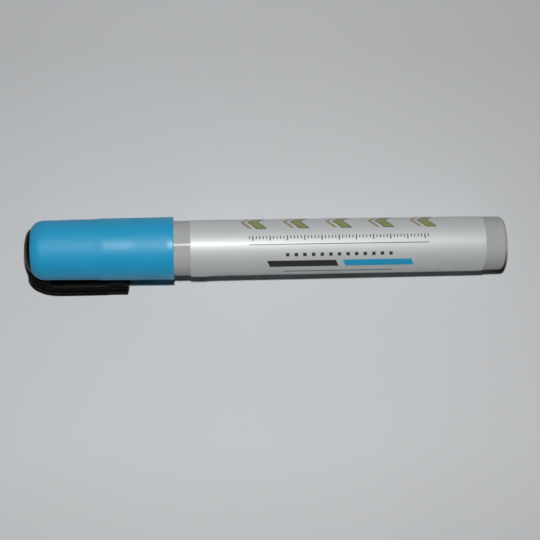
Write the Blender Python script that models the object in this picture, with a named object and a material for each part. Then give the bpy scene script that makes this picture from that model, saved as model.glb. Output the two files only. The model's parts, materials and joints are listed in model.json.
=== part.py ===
"""Arrow cresting pen: a capped, pump-action paint marker, modelled piece by piece.

The pen axis lies on X, with the cap towards -X and the closed end of the barrel facing +X.
The origin is the centre of that flat rear end, and +Z is up. Along the pen, places are
stations: distances forward of the rear end, so x = -station. On the clip, a place is a depth
behind the crown's apex and a height above the pen axis.
"""
import math

import bmesh
import bpy
from mathutils import Matrix, Vector

MM = 0.001

# Clearances
SEAT_GAP = 0.10 * MM        # between faces that are pressed or snapped together
SLIDE_GAP = 0.12 * MM       # all round a piece that slides in another
FILM_GAP = 0.04 * MM        # adhesive between the barrel and its label
CAP_GAP = 0.15 * MM         # between the cap's bore and the barrel
CLIP_GAP = 0.30 * MM        # between the clip and the cap at rest
MOUTH_GAP = 0.30 * MM       # between the inner cap's mouth and the nib holder
BALL_GAP = 0.30 * MM        # round the mixing ball

# Facets
ROUND_STEPS = 48
SMALL_STEPS = 32
ARC_STEPS = 5
CORNER_STEPS = 3
CREASE_ANGLE = 35.0         # degrees; a sharper edge is shaded crisp
MERGE_DISTANCE = 1e-7

# Barrel, a moulded bottle that is open at the front
BARREL_LENGTH = 102.0 * MM
BARREL_RADIUS = 8.0 * MM
BARREL_DRAFT = 0.13 * MM
BARREL_WALL = 1.15 * MM
BARREL_FLOOR = 1.6 * MM
BARREL_EDGE = 1.4 * MM
BARREL_INNER_EDGE = 0.8 * MM

# Label, wrapped round the barrel with its two ends almost meeting
LABEL_START = 6.4 * MM
LABEL_SETBACK = 4.8 * MM    # bare band between the label and the cap's rim
LABEL_THICKNESS = 0.10 * MM
LABEL_SEAM = 0.6 * MM
LABEL_SEAM_TURN = 188.0     # degrees round the axis from +Y, over +Z

# Nib holder, snapped into the mouth of the barrel
SPIGOT_LENGTH = 9.0 * MM
SNAP_HEIGHT = 0.25 * MM
SNAP_WIDTH = 1.2 * MM
SNAP_SETBACK = 3.0 * MM
COLLAR_LENGTH = 2.0 * MM
GUIDE_LENGTH = 7.0 * MM
GUIDE_STEP = 0.7 * MM
BEAD_SETBACK = 2.5 * MM
SEAL_LENGTH = 4.0 * MM
SEAL_STEP = 1.0 * MM
NOSE_LENGTH = 4.0 * MM
NOSE_WALL = 1.0 * MM
BORE_LENGTH = 9.0 * MM
CHAMBER_GAP = 0.6 * MM

# Nib
NIB_RADIUS = 3.0 * MM
NIB_LENGTH = 20.0 * MM
NIB_REACH = 8.0 * MM
NIB_EDGE = 1.0 * MM
NIB_BEVEL = 15.0            # degrees between each chisel face and the axis
NIB_SLANT = 20.0            # degrees that the chisel edge leans

# Valve behind the nib
SEAT_RADIUS = 4.3 * MM
SEAT_LENGTH = 5.0 * MM
SEAT_WALL = 1.8 * MM
SEAT_LAND = 0.7 * MM
SKIRT_WALL = 0.8 * MM
CAGE_LENGTH = 14.0 * MM
CAGE_WALL = 0.7 * MM
CAGE_FLOOR = 1.2 * MM
WINDOW_WIDTH = 2.0 * MM
WINDOW_LENGTH = 5.5 * MM
WINDOW_SETBACK = 2.0 * MM
FLOW_GAP = 0.4 * MM
ROD_GAP = 0.5 * MM
HEAD_LENGTH = 1.1 * MM
TAIL_RADIUS = 0.9 * MM
TAIL_REACH = 1.0 * MM
WIRE_RADIUS = 0.25 * MM
SPRING_TURNS = 7
TURN_POINTS = 10

# Mixing ball
BALL_RADIUS = 2.75 * MM

# Cap
CAP_OVERLAP = 4.8 * MM
CAP_WALL = 1.02 * MM
CAP_RIM_EDGE = 0.15 * MM
CAP_SKIRT = 18.0 * MM
CAP_SKIRT_DRAFT = 0.07 * MM
CAP_STEP_LENGTH = 4.0 * MM
CAP_STEP = 0.17 * MM
CAP_TOP_DRAFT = 0.17 * MM
CAP_CORNER = 4.2 * MM
CAP_INNER_CORNER = 1.0 * MM
CAP_END_WALL = 1.8 * MM

# Inner cap, a seal cup over the nib
NIB_ROOM = 3.6 * MM
INNER_WALL = 0.8 * MM
INNER_FLOOR = 1.0 * MM
SOCKET_DEPTH = 4.7 * MM
SOCKET_WALL = 1.5 * MM

# Crown and clip, moulded as one and flexing between them
CROWN_INSET = 2.4 * MM
CROWN_RECESS = 1.1 * MM
CROWN_PROUD = 1.2 * MM
CROWN_DOME = 1.45 * MM
CROWN_GROOVE = 0.20 * MM
CROWN_STEM = 2.5 * MM
CLIP_WIDTH = 5.6 * MM
CLIP_RIB_WIDTH = 4.0 * MM
CLIP_RIB_HEIGHT = 1.94 * MM
CLIP_RIB_EDGE = 0.4 * MM
CLIP_BASE = 1.6 * MM
CLIP_FINGER_GAP = 1.83 * MM
CLIP_REACH = 30.1 * MM
CLIP_STRAP_TOP = 0.72 * MM
CLIP_STRAP = 2.2 * MM
CLIP_STRAP_RIB = 0.9 * MM
CLIP_NECK = 0.30 * MM       # straight strap between the flexing line and the bend
CLIP_BEND = 8.6 * MM
CLIP_CHANNEL_WIDTH = 2.8 * MM
CLIP_CHANNEL_DEPTH = 2.2 * MM
PAD_PEAK = 3.1 * MM         # back from the clip's free end
PAD_RAMP = 3.8 * MM
PAD_LIP = 0.2 * MM
SHOULDER_STEPS = 10
PAD_STEPS = 4
KNUCKLE_TURNS = (80.0, 60.0, 35.0)

# Stations along the pen
BARREL_REAR_RADIUS = BARREL_RADIUS - BARREL_DRAFT
COLLAR_START = BARREL_LENGTH + SEAT_GAP
SPIGOT_START = COLLAR_START - SPIGOT_LENGTH
COLLAR_END = COLLAR_START + COLLAR_LENGTH
GUIDE_END = COLLAR_END + GUIDE_LENGTH
SEAL_END = GUIDE_END + SEAL_LENGTH
NOSE_END = SEAL_END + NOSE_LENGTH
BORE_START = NOSE_END - BORE_LENGTH
NIB_TIP = NOSE_END + NIB_REACH
NIB_REAR = NIB_TIP - NIB_LENGTH
SEAT_FRONT = SPIGOT_START + SEAT_LENGTH
SEAT_WALL_REAR = SEAT_FRONT - SEAT_WALL
CAGE_FRONT = SEAT_WALL_REAR - SEAT_GAP
CAGE_REAR = CAGE_FRONT - CAGE_LENGTH
CAGE_FLOOR_FRONT = CAGE_REAR + CAGE_FLOOR
HEAD_FRONT = SEAT_WALL_REAR - 2 * SEAT_GAP
HEAD_REAR = HEAD_FRONT - HEAD_LENGTH
TAIL_END = CAGE_REAR - TAIL_REACH
CAP_RIM = BARREL_LENGTH - CAP_OVERLAP
LABEL_END = CAP_RIM - LABEL_SETBACK
INNER_MOUTH = GUIDE_END + MOUTH_GAP
INNER_CUP_END = NIB_TIP + NIB_ROOM
SOCKET_START = INNER_CUP_END + INNER_FLOOR
SOCKET_END = SOCKET_START + SOCKET_DEPTH
CAVITY_END = SOCKET_END + SEAT_GAP
RECESS_FLOOR = CAVITY_END + CAP_END_WALL
CAP_END = RECESS_FLOOR + CROWN_RECESS
CROWN_APEX = CAP_END + CROWN_PROUD
CROWN_BASE = RECESS_FLOOR + SEAT_GAP
BALL_STATION = BARREL_FLOOR + BARREL_INNER_EDGE + BALL_RADIUS

# Radii
BARREL_BORE = BARREL_REAR_RADIUS + BARREL_DRAFT * SPIGOT_START / BARREL_LENGTH - BARREL_WALL
SPIGOT_RADIUS = BARREL_BORE - SEAT_GAP
GUIDE_RADIUS = BARREL_RADIUS - GUIDE_STEP
NIB_BORE = NIB_RADIUS + SLIDE_GAP
NOSE_RADIUS = NIB_BORE + NOSE_WALL
SEAL_RADIUS = NOSE_RADIUS + SEAL_STEP
CHAMBER_RADIUS = NIB_RADIUS + CHAMBER_GAP
SKIRT_BORE = SEAT_RADIUS - SKIRT_WALL
CAGE_RADIUS = SKIRT_BORE - SEAT_GAP
CAGE_BORE = CAGE_RADIUS - CAGE_WALL
HEAD_RADIUS = CAGE_BORE - FLOW_GAP
SEAT_HOLE = HEAD_RADIUS - SEAT_LAND
ROD_RADIUS = SEAT_HOLE - ROD_GAP
SPRING_RADIUS = (TAIL_RADIUS + CAGE_BORE) / 2
BALL_DROP = BARREL_REAR_RADIUS - BARREL_WALL - BALL_RADIUS - BALL_GAP
CAP_RIM_RADIUS = BARREL_RADIUS + CAP_GAP + CAP_WALL
CAP_END_RADIUS = CAP_RIM_RADIUS - CAP_SKIRT_DRAFT - CAP_STEP - CAP_TOP_DRAFT
INNER_BORE = SEAL_RADIUS + SLIDE_GAP
INNER_RADIUS = INNER_BORE + INNER_WALL
SOCKET_RADIUS = CROWN_STEM + SEAT_GAP
CROWN_RADIUS = CAP_END_RADIUS - CROWN_INSET
RECESS_RADIUS = CROWN_RADIUS + CROWN_GROOVE

# Clip, as depths behind the crown's apex and heights above the pen axis
STRAP_UNDER = CLIP_STRAP_TOP + CLIP_STRAP
HINGE_DEPTH = CLIP_STRAP_TOP + CLIP_STRAP / 2
HINGE_HEIGHT = CROWN_RADIUS + SEAT_GAP + CLIP_STRAP / 2
BEND_HEIGHT = HINGE_HEIGHT + CLIP_NECK
BEND_DEPTH = CLIP_STRAP_TOP + CLIP_BEND
CLIP_UNDER = CAP_RIM_RADIUS + CLIP_FINGER_GAP
CLIP_BASE_TOP = CLIP_UNDER + CLIP_BASE
CLIP_TOP = CLIP_BASE_TOP + CLIP_RIB_HEIGHT
CORNER_DEPTH = CROWN_PROUD + CAP_CORNER
CORNER_HEIGHT = CAP_END_RADIUS - CAP_CORNER
NOTCH_DEPTH = STRAP_UNDER + SEAT_GAP


def clip_turn():
    """Angle below the horizontal at which the clip's rib touches the table beside the cap rim."""
    half_rib = CLIP_RIB_WIDTH / 2
    reach = math.hypot(CLIP_TOP, half_rib)
    return math.asin(CAP_RIM_RADIUS / reach) - math.atan2(half_rib, CLIP_TOP)


def clear_scene():
    """Start from an empty scene."""
    for obj in list(bpy.data.objects):
        bpy.data.objects.remove(obj, do_unlink=True)


def finish_material(name, colour, roughness, metallic=0.0):
    """A Principled BSDF in one colour."""
    material = bpy.data.materials.new(name)
    material.use_nodes = True
    shader = material.node_tree.nodes["Principled BSDF"]
    shader.inputs["Base Color"].default_value = (*colour, 1.0)
    shader.inputs["Roughness"].default_value = roughness
    shader.inputs["Metallic"].default_value = metallic
    return material


def add_object(name, data, parent=None, location=(0.0, 0.0, 0.0)):
    """Link mesh or curve data, or an empty where there is none, under a parent."""
    obj = bpy.data.objects.new(name, data)
    bpy.context.scene.collection.objects.link(obj)
    obj.parent = parent
    obj.location = location
    return obj


def add_mesh(name, bm, material, parent=None, location=(0.0, 0.0, 0.0)):
    """Turn a bmesh into a smooth-shaded object with crisp edges."""
    bmesh.ops.recalc_face_normals(bm, faces=bm.faces)
    mesh = bpy.data.meshes.new(name)
    bm.to_mesh(mesh)
    bm.free()
    mesh.materials.append(material)
    mesh.shade_smooth()
    mesh.set_sharp_from_angle(angle=math.radians(CREASE_ANGLE))
    return add_object(name, mesh, parent, location)


def arc(centre, radius, start, end, steps=ARC_STEPS):
    """Points round a centre (station, radius), by angle in degrees from the forward direction."""
    points = []
    for i in range(steps + 1):
        angle = math.radians(start + (end - start) * i / steps)
        points.append((centre[0] + radius * math.cos(angle), centre[1] + radius * math.sin(angle)))
    return points


def smooth_step(share):
    """A ramp from 0 to 1 that is level at both ends."""
    return share * share * (3.0 - 2.0 * share)


def turned(name, profile, material, datum, parent=None, closed=False, steps=ROUND_STEPS):
    """Spin a profile of (station, radius) points about the pen axis; the origin is at datum."""
    bm = bmesh.new()
    verts = [bm.verts.new((datum - station, 0.0, radius)) for station, radius in profile]
    edges = [bm.edges.new(pair) for pair in zip(verts, verts[1:])]
    if closed:
        edges.append(bm.edges.new((verts[-1], verts[0])))
    bmesh.ops.spin(bm, geom=verts + edges, cent=(0, 0, 0), axis=(1, 0, 0),
                   angle=2 * math.pi, steps=steps, use_merge=True)
    bmesh.ops.remove_doubles(bm, verts=bm.verts, dist=MERGE_DISTANCE)
    location = (-datum, 0.0, 0.0) if parent is None else (parent["datum"] - datum, 0.0, 0.0)
    return add_mesh(name, bm, material, parent, location)


def slide_frame(name, datum, turn=0.0):
    """An empty on the pen axis at a station, turned about the axis."""
    frame = add_object(name, None, None, (-datum, 0.0, 0.0))
    frame.rotation_euler.x = turn
    frame["datum"] = datum
    return frame


def box_cutter(name, low, high, parent):
    """A hidden box between two corners, in its parent's frame."""
    bm = bmesh.new()
    bmesh.ops.create_cube(bm, size=1.0)
    centre = (Vector(low) + Vector(high)) / 2
    size = Vector(high) - Vector(low)
    bmesh.ops.scale(bm, vec=size, verts=bm.verts)
    mesh = bpy.data.meshes.new(name)
    bm.to_mesh(mesh)
    bm.free()
    cutter = add_object(name, mesh, parent, centre)
    cutter.hide_render = True
    cutter.display_type = "WIRE"
    return cutter


def boolean(obj, other, operation):
    """Cut a piece with another object, or join it on."""
    modifier = obj.modifiers.new(other.name, "BOOLEAN")
    modifier.operation = operation
    modifier.solver = "EXACT"
    modifier.object = other


def barrel_radius_at(station):
    """Outer radius of the drafted barrel."""
    return BARREL_REAR_RADIUS + BARREL_DRAFT * station / BARREL_LENGTH


def cap_profile(offset):
    """Side of the cap from rim to corner: skirt, soft step and drafted top, moved in by offset."""
    skirt_end = CAP_RIM + CAP_SKIRT
    step_end = skirt_end + CAP_STEP_LENGTH
    radius = CAP_RIM_RADIUS - offset
    points = [(CAP_RIM, radius)]
    for i in range(ARC_STEPS):
        share = i / (ARC_STEPS - 1)
        drop = CAP_SKIRT_DRAFT + CAP_STEP * smooth_step(share)
        points.append((skirt_end + (step_end - skirt_end) * share, radius - drop))
    return points


def make_barrel(material):
    """Bottle with a flat rounded rear end, and a groove inside its mouth for the nib holder."""
    snap_front = BARREL_LENGTH - SNAP_SETBACK + SEAT_GAP
    snap_rear = snap_front - SNAP_WIDTH - 2 * SEAT_GAP
    floor_bore = BARREL_REAR_RADIUS - BARREL_WALL
    profile = [(0.0, 0.0)]
    profile += arc((BARREL_EDGE, BARREL_REAR_RADIUS - BARREL_EDGE), BARREL_EDGE, 180.0, 90.0)
    profile += [(BARREL_LENGTH, BARREL_RADIUS), (BARREL_LENGTH, BARREL_BORE)]
    profile += [(snap_front, BARREL_BORE), (snap_front - SNAP_HEIGHT, BARREL_BORE + SNAP_HEIGHT)]
    profile += [(snap_rear + SNAP_HEIGHT, BARREL_BORE + SNAP_HEIGHT), (snap_rear, BARREL_BORE)]
    profile += [(SPIGOT_START, BARREL_BORE)]
    inner_corner = (BARREL_FLOOR + BARREL_INNER_EDGE, floor_bore - BARREL_INNER_EDGE)
    profile += arc(inner_corner, BARREL_INNER_EDGE, 90.0, 180.0, steps=CORNER_STEPS)
    profile += [(BARREL_FLOOR, 0.0)]
    return turned("barrel", profile, material, 0.0)


def make_label(material):
    """Film wrapped round the barrel, open by a narrow seam."""
    inner_rear = barrel_radius_at(LABEL_START) + FILM_GAP
    inner_front = barrel_radius_at(LABEL_END) + FILM_GAP
    profile = [(LABEL_START, inner_rear), (LABEL_END, inner_front),
               (LABEL_END, inner_front + LABEL_THICKNESS), (LABEL_START, inner_rear + LABEL_THICKNESS)]
    seam = LABEL_SEAM / BARREL_RADIUS
    start = math.radians(LABEL_SEAM_TURN) + seam / 2
    bm = bmesh.new()
    verts = []
    for station, radius in profile:
        place = (-station, radius * math.cos(start), radius * math.sin(start))
        verts.append(bm.verts.new(place))
    edges = [bm.edges.new((verts[i], verts[(i + 1) % 4])) for i in range(4)]
    bmesh.ops.spin(bm, geom=verts + edges, cent=(0, 0, 0), axis=(1, 0, 0),
                   angle=2 * math.pi - seam, steps=ROUND_STEPS)
    bmesh.ops.holes_fill(bm, edges=bm.edges, sides=4)
    return add_mesh("barrel_label", bm, material)


def make_nib_holder(material):
    """Spigot in the barrel, collar, cap guide with a bead, seal land and nose, bored through."""
    snap_front = BARREL_LENGTH - SNAP_SETBACK
    snap_rear = snap_front - SNAP_WIDTH
    bead_rear = COLLAR_END + BEAD_SETBACK
    bead_front = bead_rear + SNAP_WIDTH
    pocket = SEAT_RADIUS + SEAT_GAP
    shoulder = SEAT_FRONT + SEAT_GAP
    profile = [(SPIGOT_START, pocket), (SPIGOT_START, SPIGOT_RADIUS)]
    profile += [(snap_rear, SPIGOT_RADIUS), (snap_rear + SNAP_HEIGHT, SPIGOT_RADIUS + SNAP_HEIGHT)]
    profile += [(snap_front - SNAP_HEIGHT, SPIGOT_RADIUS + SNAP_HEIGHT), (snap_front, SPIGOT_RADIUS)]
    profile += [(COLLAR_START, SPIGOT_RADIUS), (COLLAR_START, BARREL_RADIUS)]
    profile += [(COLLAR_END - SNAP_HEIGHT, BARREL_RADIUS), (COLLAR_END, BARREL_RADIUS - SNAP_HEIGHT)]
    profile += [(COLLAR_END, GUIDE_RADIUS), (bead_rear, GUIDE_RADIUS)]
    profile += [(bead_rear + SNAP_HEIGHT, GUIDE_RADIUS + SNAP_HEIGHT)]
    profile += [(bead_front - SNAP_HEIGHT, GUIDE_RADIUS + SNAP_HEIGHT), (bead_front, GUIDE_RADIUS)]
    profile += [(GUIDE_END, GUIDE_RADIUS), (GUIDE_END, SEAL_RADIUS), (SEAL_END, SEAL_RADIUS)]
    profile += [(NOSE_END - SNAP_HEIGHT, NOSE_RADIUS), (NOSE_END, NOSE_RADIUS - SNAP_HEIGHT)]
    profile += [(NOSE_END, NIB_BORE), (BORE_START, NIB_BORE), (BORE_START, CHAMBER_RADIUS)]
    profile += [(shoulder, CHAMBER_RADIUS), (shoulder, pocket)]
    return turned("nib_holder", profile, material, COLLAR_START, closed=True)


def make_nib(material, parent):
    """Round fibre rod cut to a chisel by two bevels, with a leaning edge."""
    bm = bmesh.new()
    bmesh.ops.create_cone(bm, cap_ends=True, segments=SMALL_STEPS, radius1=NIB_RADIUS,
                          radius2=NIB_RADIUS, depth=NIB_LENGTH)
    bmesh.ops.rotate(bm, cent=(0, 0, 0), matrix=Matrix.Rotation(math.pi / 2, 3, "Y"), verts=bm.verts)
    tip = -NIB_LENGTH / 2
    bevel = math.radians(NIB_BEVEL)
    slant = math.radians(NIB_SLANT)
    cuts = [((tip, 0.0, side * NIB_EDGE / 2), (-math.sin(bevel), 0.0, side * math.cos(bevel)))
            for side in (1, -1)]
    cuts.append(((tip, NIB_RADIUS, 0.0), (-math.cos(slant), -math.sin(slant), 0.0)))
    for point, normal in cuts:
        geom = list(bm.verts) + list(bm.edges) + list(bm.faces)
        bmesh.ops.bisect_plane(bm, geom=geom, dist=MERGE_DISTANCE, plane_co=point, plane_no=normal,
                               clear_outer=True)
        bmesh.ops.holes_fill(bm, edges=bm.edges)
    centre = (NIB_TIP + NIB_REAR) / 2
    return add_mesh("nib", bm, material, parent, (parent["datum"] - centre, 0.0, 0.0))


def make_valve_seat(material):
    """Ring in the nib holder with a conical seat on its rear side and a skirt for the cage."""
    profile = [(SPIGOT_START, SKIRT_BORE), (SPIGOT_START, SEAT_RADIUS), (SEAT_FRONT, SEAT_RADIUS)]
    profile += [(SEAT_FRONT, SEAT_HOLE), (SEAT_WALL_REAR + SEAT_LAND, SEAT_HOLE)]
    profile += [(SEAT_WALL_REAR, HEAD_RADIUS), (SEAT_WALL_REAR, SKIRT_BORE)]
    return turned("valve_seat", profile, material, SEAT_FRONT, closed=True, steps=SMALL_STEPS)


def make_valve_cage(material):
    """Cup behind the seat that holds the spring, with windows that let the paint in."""
    guide = TAIL_RADIUS + SLIDE_GAP
    profile = [(CAGE_REAR, guide), (CAGE_REAR, CAGE_RADIUS), (CAGE_FRONT, CAGE_RADIUS)]
    profile += [(CAGE_FRONT, CAGE_BORE), (CAGE_FLOOR_FRONT, CAGE_BORE), (CAGE_FLOOR_FRONT, guide)]
    cage = turned("valve_cage", profile, material, CAGE_REAR, closed=True, steps=SMALL_STEPS)
    front = -(CAGE_FLOOR + WINDOW_SETBACK + WINDOW_LENGTH)
    rear = -(CAGE_FLOOR + WINDOW_SETBACK)
    half = WINDOW_WIDTH / 2
    wide = 2 * CAGE_RADIUS
    upright = box_cutter("window_upright", (front, -half, -wide), (rear, half, wide), cage)
    level = box_cutter("window_level", (front, -wide, -half), (rear, wide, half), cage)
    boolean(cage, upright, "DIFFERENCE")
    boolean(cage, level, "DIFFERENCE")
    return cage


def make_valve_stem(material, parent):
    """Rod that the nib pushes, the head that closes on the seat, and a tail guided in the cage."""
    rod_front = NIB_REAR - SEAT_GAP
    profile = [(TAIL_END, 0.0), (TAIL_END, TAIL_RADIUS), (HEAD_REAR, TAIL_RADIUS)]
    profile += [(HEAD_REAR, HEAD_RADIUS), (HEAD_FRONT, HEAD_RADIUS)]
    profile += [(HEAD_FRONT + SEAT_LAND, SEAT_HOLE), (HEAD_FRONT + SEAT_LAND, ROD_RADIUS)]
    profile += [(rod_front, ROD_RADIUS), (rod_front, 0.0)]
    return turned("valve_stem", profile, material, HEAD_FRONT, parent, steps=SMALL_STEPS)


def make_valve_spring(material):
    """Open coil between the cage floor and the valve head, as one wire."""
    start = CAGE_FLOOR_FRONT + WIRE_RADIUS + SEAT_GAP
    end = HEAD_REAR - WIRE_RADIUS - SEAT_GAP
    count = SPRING_TURNS * TURN_POINTS
    points = []
    for i in range(count + 1):
        angle = 2 * math.pi * i / TURN_POINTS
        station = start + (end - start) * i / count
        across = SPRING_RADIUS * math.cos(angle)
        points.append((CAGE_REAR - station, across, SPRING_RADIUS * math.sin(angle)))
    curve = bpy.data.curves.new("valve_spring", "CURVE")
    curve.dimensions = "3D"
    curve.bevel_depth = WIRE_RADIUS
    curve.bevel_resolution = 1
    curve.use_fill_caps = True
    spline = curve.splines.new("POLY")
    spline.points.add(count)
    for point, place in zip(spline.points, points):
        point.co = (*place, 1.0)
    curve.materials.append(material)
    half_turn = TURN_POINTS // 2
    apart = min(math.dist(a, b) for i, a in enumerate(points) for b in points[i + half_turn:])
    print("valve_spring least gap to itself: %.2f mm" % ((apart - 2 * WIRE_RADIUS) / MM))
    return add_object("valve_spring", curve, None, (-CAGE_REAR, 0.0, 0.0))


def make_mixing_ball(material):
    """Steel ball lying on the bottom of the bore, at the rear end."""
    bm = bmesh.new()
    bmesh.ops.create_icosphere(bm, subdivisions=3, radius=BALL_RADIUS)
    return add_mesh("mixing_ball", bm, material, None, (-BALL_STATION, 0.0, -BALL_DROP))


def make_cap_shell(material, parent):
    """Drafted cup with a soft step, a round corner, a recess for the crown and a clip notch."""
    corner = (CAP_END - CAP_CORNER, CAP_END_RADIUS - CAP_CORNER)
    recess_rise = max(0.0, (RECESS_RADIUS - corner[1]) / CAP_CORNER)
    recess_turn = math.degrees(math.asin(recess_rise))
    top_bore = CAP_END_RADIUS - CAP_WALL
    inner_corner = (CAVITY_END - CAP_INNER_CORNER, top_bore - CAP_INNER_CORNER)
    outer = cap_profile(0.0)
    rim = [(CAP_RIM, outer[0][1] - CAP_RIM_EDGE), (CAP_RIM + CAP_RIM_EDGE, outer[0][1])]
    profile = rim + outer[1:]
    profile += arc(corner, CAP_CORNER, 90.0, recess_turn, steps=2 * ARC_STEPS)
    profile += [(RECESS_FLOOR, RECESS_RADIUS), (RECESS_FLOOR, SOCKET_RADIUS), (CAVITY_END, SOCKET_RADIUS)]
    profile += arc(inner_corner, CAP_INNER_CORNER, 0.0, 90.0, steps=CORNER_STEPS)
    profile += reversed(cap_profile(CAP_WALL))
    shell = turned("cap_shell", profile, material, CAP_RIM, parent, closed=True)
    apex = CAP_RIM - CROWN_APEX
    half = CLIP_WIDTH / 2 + SLIDE_GAP
    notch_start = math.sqrt(RECESS_RADIUS ** 2 - half ** 2) - CROWN_GROOVE
    notch = box_cutter("clip_notch", (apex - CROWN_PROUD, -half, notch_start),
                       (apex + NOTCH_DEPTH, half, 2 * CAP_RIM_RADIUS), shell)
    boolean(shell, notch, "DIFFERENCE")
    return shell


def make_inner_cap(material, parent):
    """Cup that seals on the holder's land, with a flange and a socket for the crown's stem."""
    flange = CAP_END_RADIUS - CAP_WALL - SEAT_GAP
    profile = [(INNER_CUP_END, 0.0), (INNER_CUP_END, INNER_BORE), (INNER_MOUTH, INNER_BORE)]
    profile += [(INNER_MOUTH, INNER_RADIUS), (INNER_CUP_END, INNER_RADIUS), (INNER_CUP_END, flange)]
    profile += [(SOCKET_START, flange), (SOCKET_START, SOCKET_RADIUS + SOCKET_WALL)]
    profile += [(SOCKET_END, SOCKET_RADIUS + SOCKET_WALL), (SOCKET_END, SOCKET_RADIUS)]
    profile += [(SOCKET_START, SOCKET_RADIUS), (SOCKET_START, 0.0)]
    return turned("inner_cap", profile, material, INNER_MOUTH, parent)


def make_clip_crown(material, parent):
    """Domed button with a stem into the inner cap, and a stub where the clip's strap starts."""
    rim = CROWN_APEX - CROWN_DOME
    stem_end = SOCKET_START + SEAT_GAP
    profile = [(stem_end, 0.0), (stem_end, CROWN_STEM)]
    profile += [(CROWN_BASE, CROWN_STEM), (CROWN_BASE, CROWN_RADIUS)]
    for i in range(2 * ARC_STEPS + 1):
        angle = math.pi / 2 * i / (2 * ARC_STEPS)
        profile.append((rim + CROWN_DOME * math.sin(angle), CROWN_RADIUS * math.cos(angle)))
    crown = turned("clip_crown", profile, material, CROWN_APEX, parent)
    half = CLIP_WIDTH / 2
    under = CROWN_APEX - CROWN_BASE - SEAT_GAP
    stub = box_cutter("strap_stub", (CLIP_STRAP_TOP, -half, CROWN_STEM), (under, half, CROWN_RADIUS), crown)
    boolean(crown, stub, "UNION")
    return crown


def shoulder_stations():
    """Points under, on the base and on the rib of the clip's shoulder, from strap to arm.

    The outer sides are quarter ellipses. The inner side keeps a gap to the cap's round
    corner, then rises in a smooth ramp to the underside of the arm.
    """
    stations = []
    half = SHOULDER_STEPS // 2
    hug = CAP_CORNER + CLIP_GAP
    first = math.asin((BEND_HEIGHT - CORNER_HEIGHT) / hug)
    for i in range(SHOULDER_STEPS + 1):
        angle = math.pi / 2 * i / SHOULDER_STEPS
        back = math.cos(angle)
        rise = math.sin(angle)
        rib = (BEND_DEPTH - CLIP_BEND * back, BEND_HEIGHT + (CLIP_TOP - BEND_HEIGHT) * rise)
        base_bend = CLIP_BEND - CLIP_STRAP_RIB
        base = (BEND_DEPTH - base_bend * back, BEND_HEIGHT + (CLIP_BASE_TOP - BEND_HEIGHT) * rise)
        if i <= half:
            turn = first + (math.pi / 2 - first) * i / half
            under = (CORNER_DEPTH - hug * math.cos(turn), CORNER_HEIGHT + hug * math.sin(turn))
        else:
            share = (i - half) / (SHOULDER_STEPS - half)
            low = CORNER_HEIGHT + hug
            under = (CORNER_DEPTH + (BEND_DEPTH - CORNER_DEPTH) * share,
                     low + (CLIP_UNDER - low) * smooth_step(share))
        stations.append((under, base, rib))
    return stations


def pad_stations():
    """The arm's free end, where the underside dips to a pad close to the cap."""
    peak = CLIP_REACH - PAD_PEAK
    touch = CAP_RIM_RADIUS + CLIP_GAP
    lip = CLIP_UNDER - PAD_LIP
    stations = []
    for i in range(PAD_STEPS + 1):
        share = i / PAD_STEPS
        under = (peak - PAD_RAMP * (1 - share), CLIP_UNDER + (touch - CLIP_UNDER) * smooth_step(share))
        stations.append(under)
    for i in range(1, PAD_STEPS + 1):
        share = i / PAD_STEPS
        stations.append((peak + PAD_PEAK * share, touch + (lip - touch) * smooth_step(share)))
    return [(under, (under[0], CLIP_BASE_TOP), (under[0], CLIP_TOP)) for under in stations]


def knuckle_stations():
    """Round end of the strap, about the flexing line, so that it can turn beside the crown."""
    stations = []
    for turn in KNUCKLE_TURNS:
        half = CLIP_STRAP / 2 * math.cos(math.radians(turn))
        height = HINGE_HEIGHT - CLIP_STRAP / 2 * math.sin(math.radians(turn))
        rib = HINGE_DEPTH - half
        base = rib + 2 * half * CLIP_STRAP_RIB / CLIP_STRAP
        stations.append(((HINGE_DEPTH + half, height), (base, height), (rib, height)))
    base = CLIP_STRAP_TOP + CLIP_STRAP_RIB
    stations.append(((STRAP_UNDER, HINGE_HEIGHT), (base, HINGE_HEIGHT), (CLIP_STRAP_TOP, HINGE_HEIGHT)))
    return stations


def clip_section(under, base, rib):
    """Outline across the clip: a base with a narrower rib on its outer side, edges eased."""
    half = CLIP_WIDTH / 2
    half_rib = CLIP_RIB_WIDTH / 2
    rise = math.dist(base, rib)
    ease = min(CLIP_RIB_EDGE, rise / 2)
    share = 1.0 - ease / rise
    shoulder = (base[0] + (rib[0] - base[0]) * share, base[1] + (rib[1] - base[1]) * share)
    side = [(half, under), (half, base), (half_rib, base), (half_rib, shoulder), (half_rib - ease, rib)]
    places = side + [(-across, place) for across, place in reversed(side)]
    return [(depth - HINGE_DEPTH, across, height - HINGE_HEIGHT) for across, (depth, height) in places]


def make_clip_arm(material, parent):
    """The clip as a loft of sections from its flexing line to its pad, hollowed underneath."""
    stations = knuckle_stations() + shoulder_stations() + pad_stations()
    bm = bmesh.new()
    rings = [[bm.verts.new(place) for place in clip_section(*station)] for station in stations]
    count = len(rings[0])
    for ring, following in zip(rings, rings[1:]):
        for i in range(count):
            j = (i + 1) % count
            bm.faces.new((ring[i], ring[j], following[j], following[i]))
    bm.faces.new(rings[0])
    bm.faces.new(rings[-1])
    arm = add_mesh("clip_arm", bm, material, parent)
    half = CLIP_CHANNEL_WIDTH / 2
    floor = CLIP_UNDER + CLIP_CHANNEL_DEPTH - HINGE_HEIGHT
    channel_start = BEND_DEPTH - HINGE_DEPTH
    channel_end = CLIP_REACH - PAD_PEAK - PAD_RAMP - HINGE_DEPTH
    channel = box_cutter("clip_channel", (channel_start, -half, 0.0), (channel_end, half, floor), arm)
    boolean(arm, channel, "DIFFERENCE")
    return arm


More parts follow.
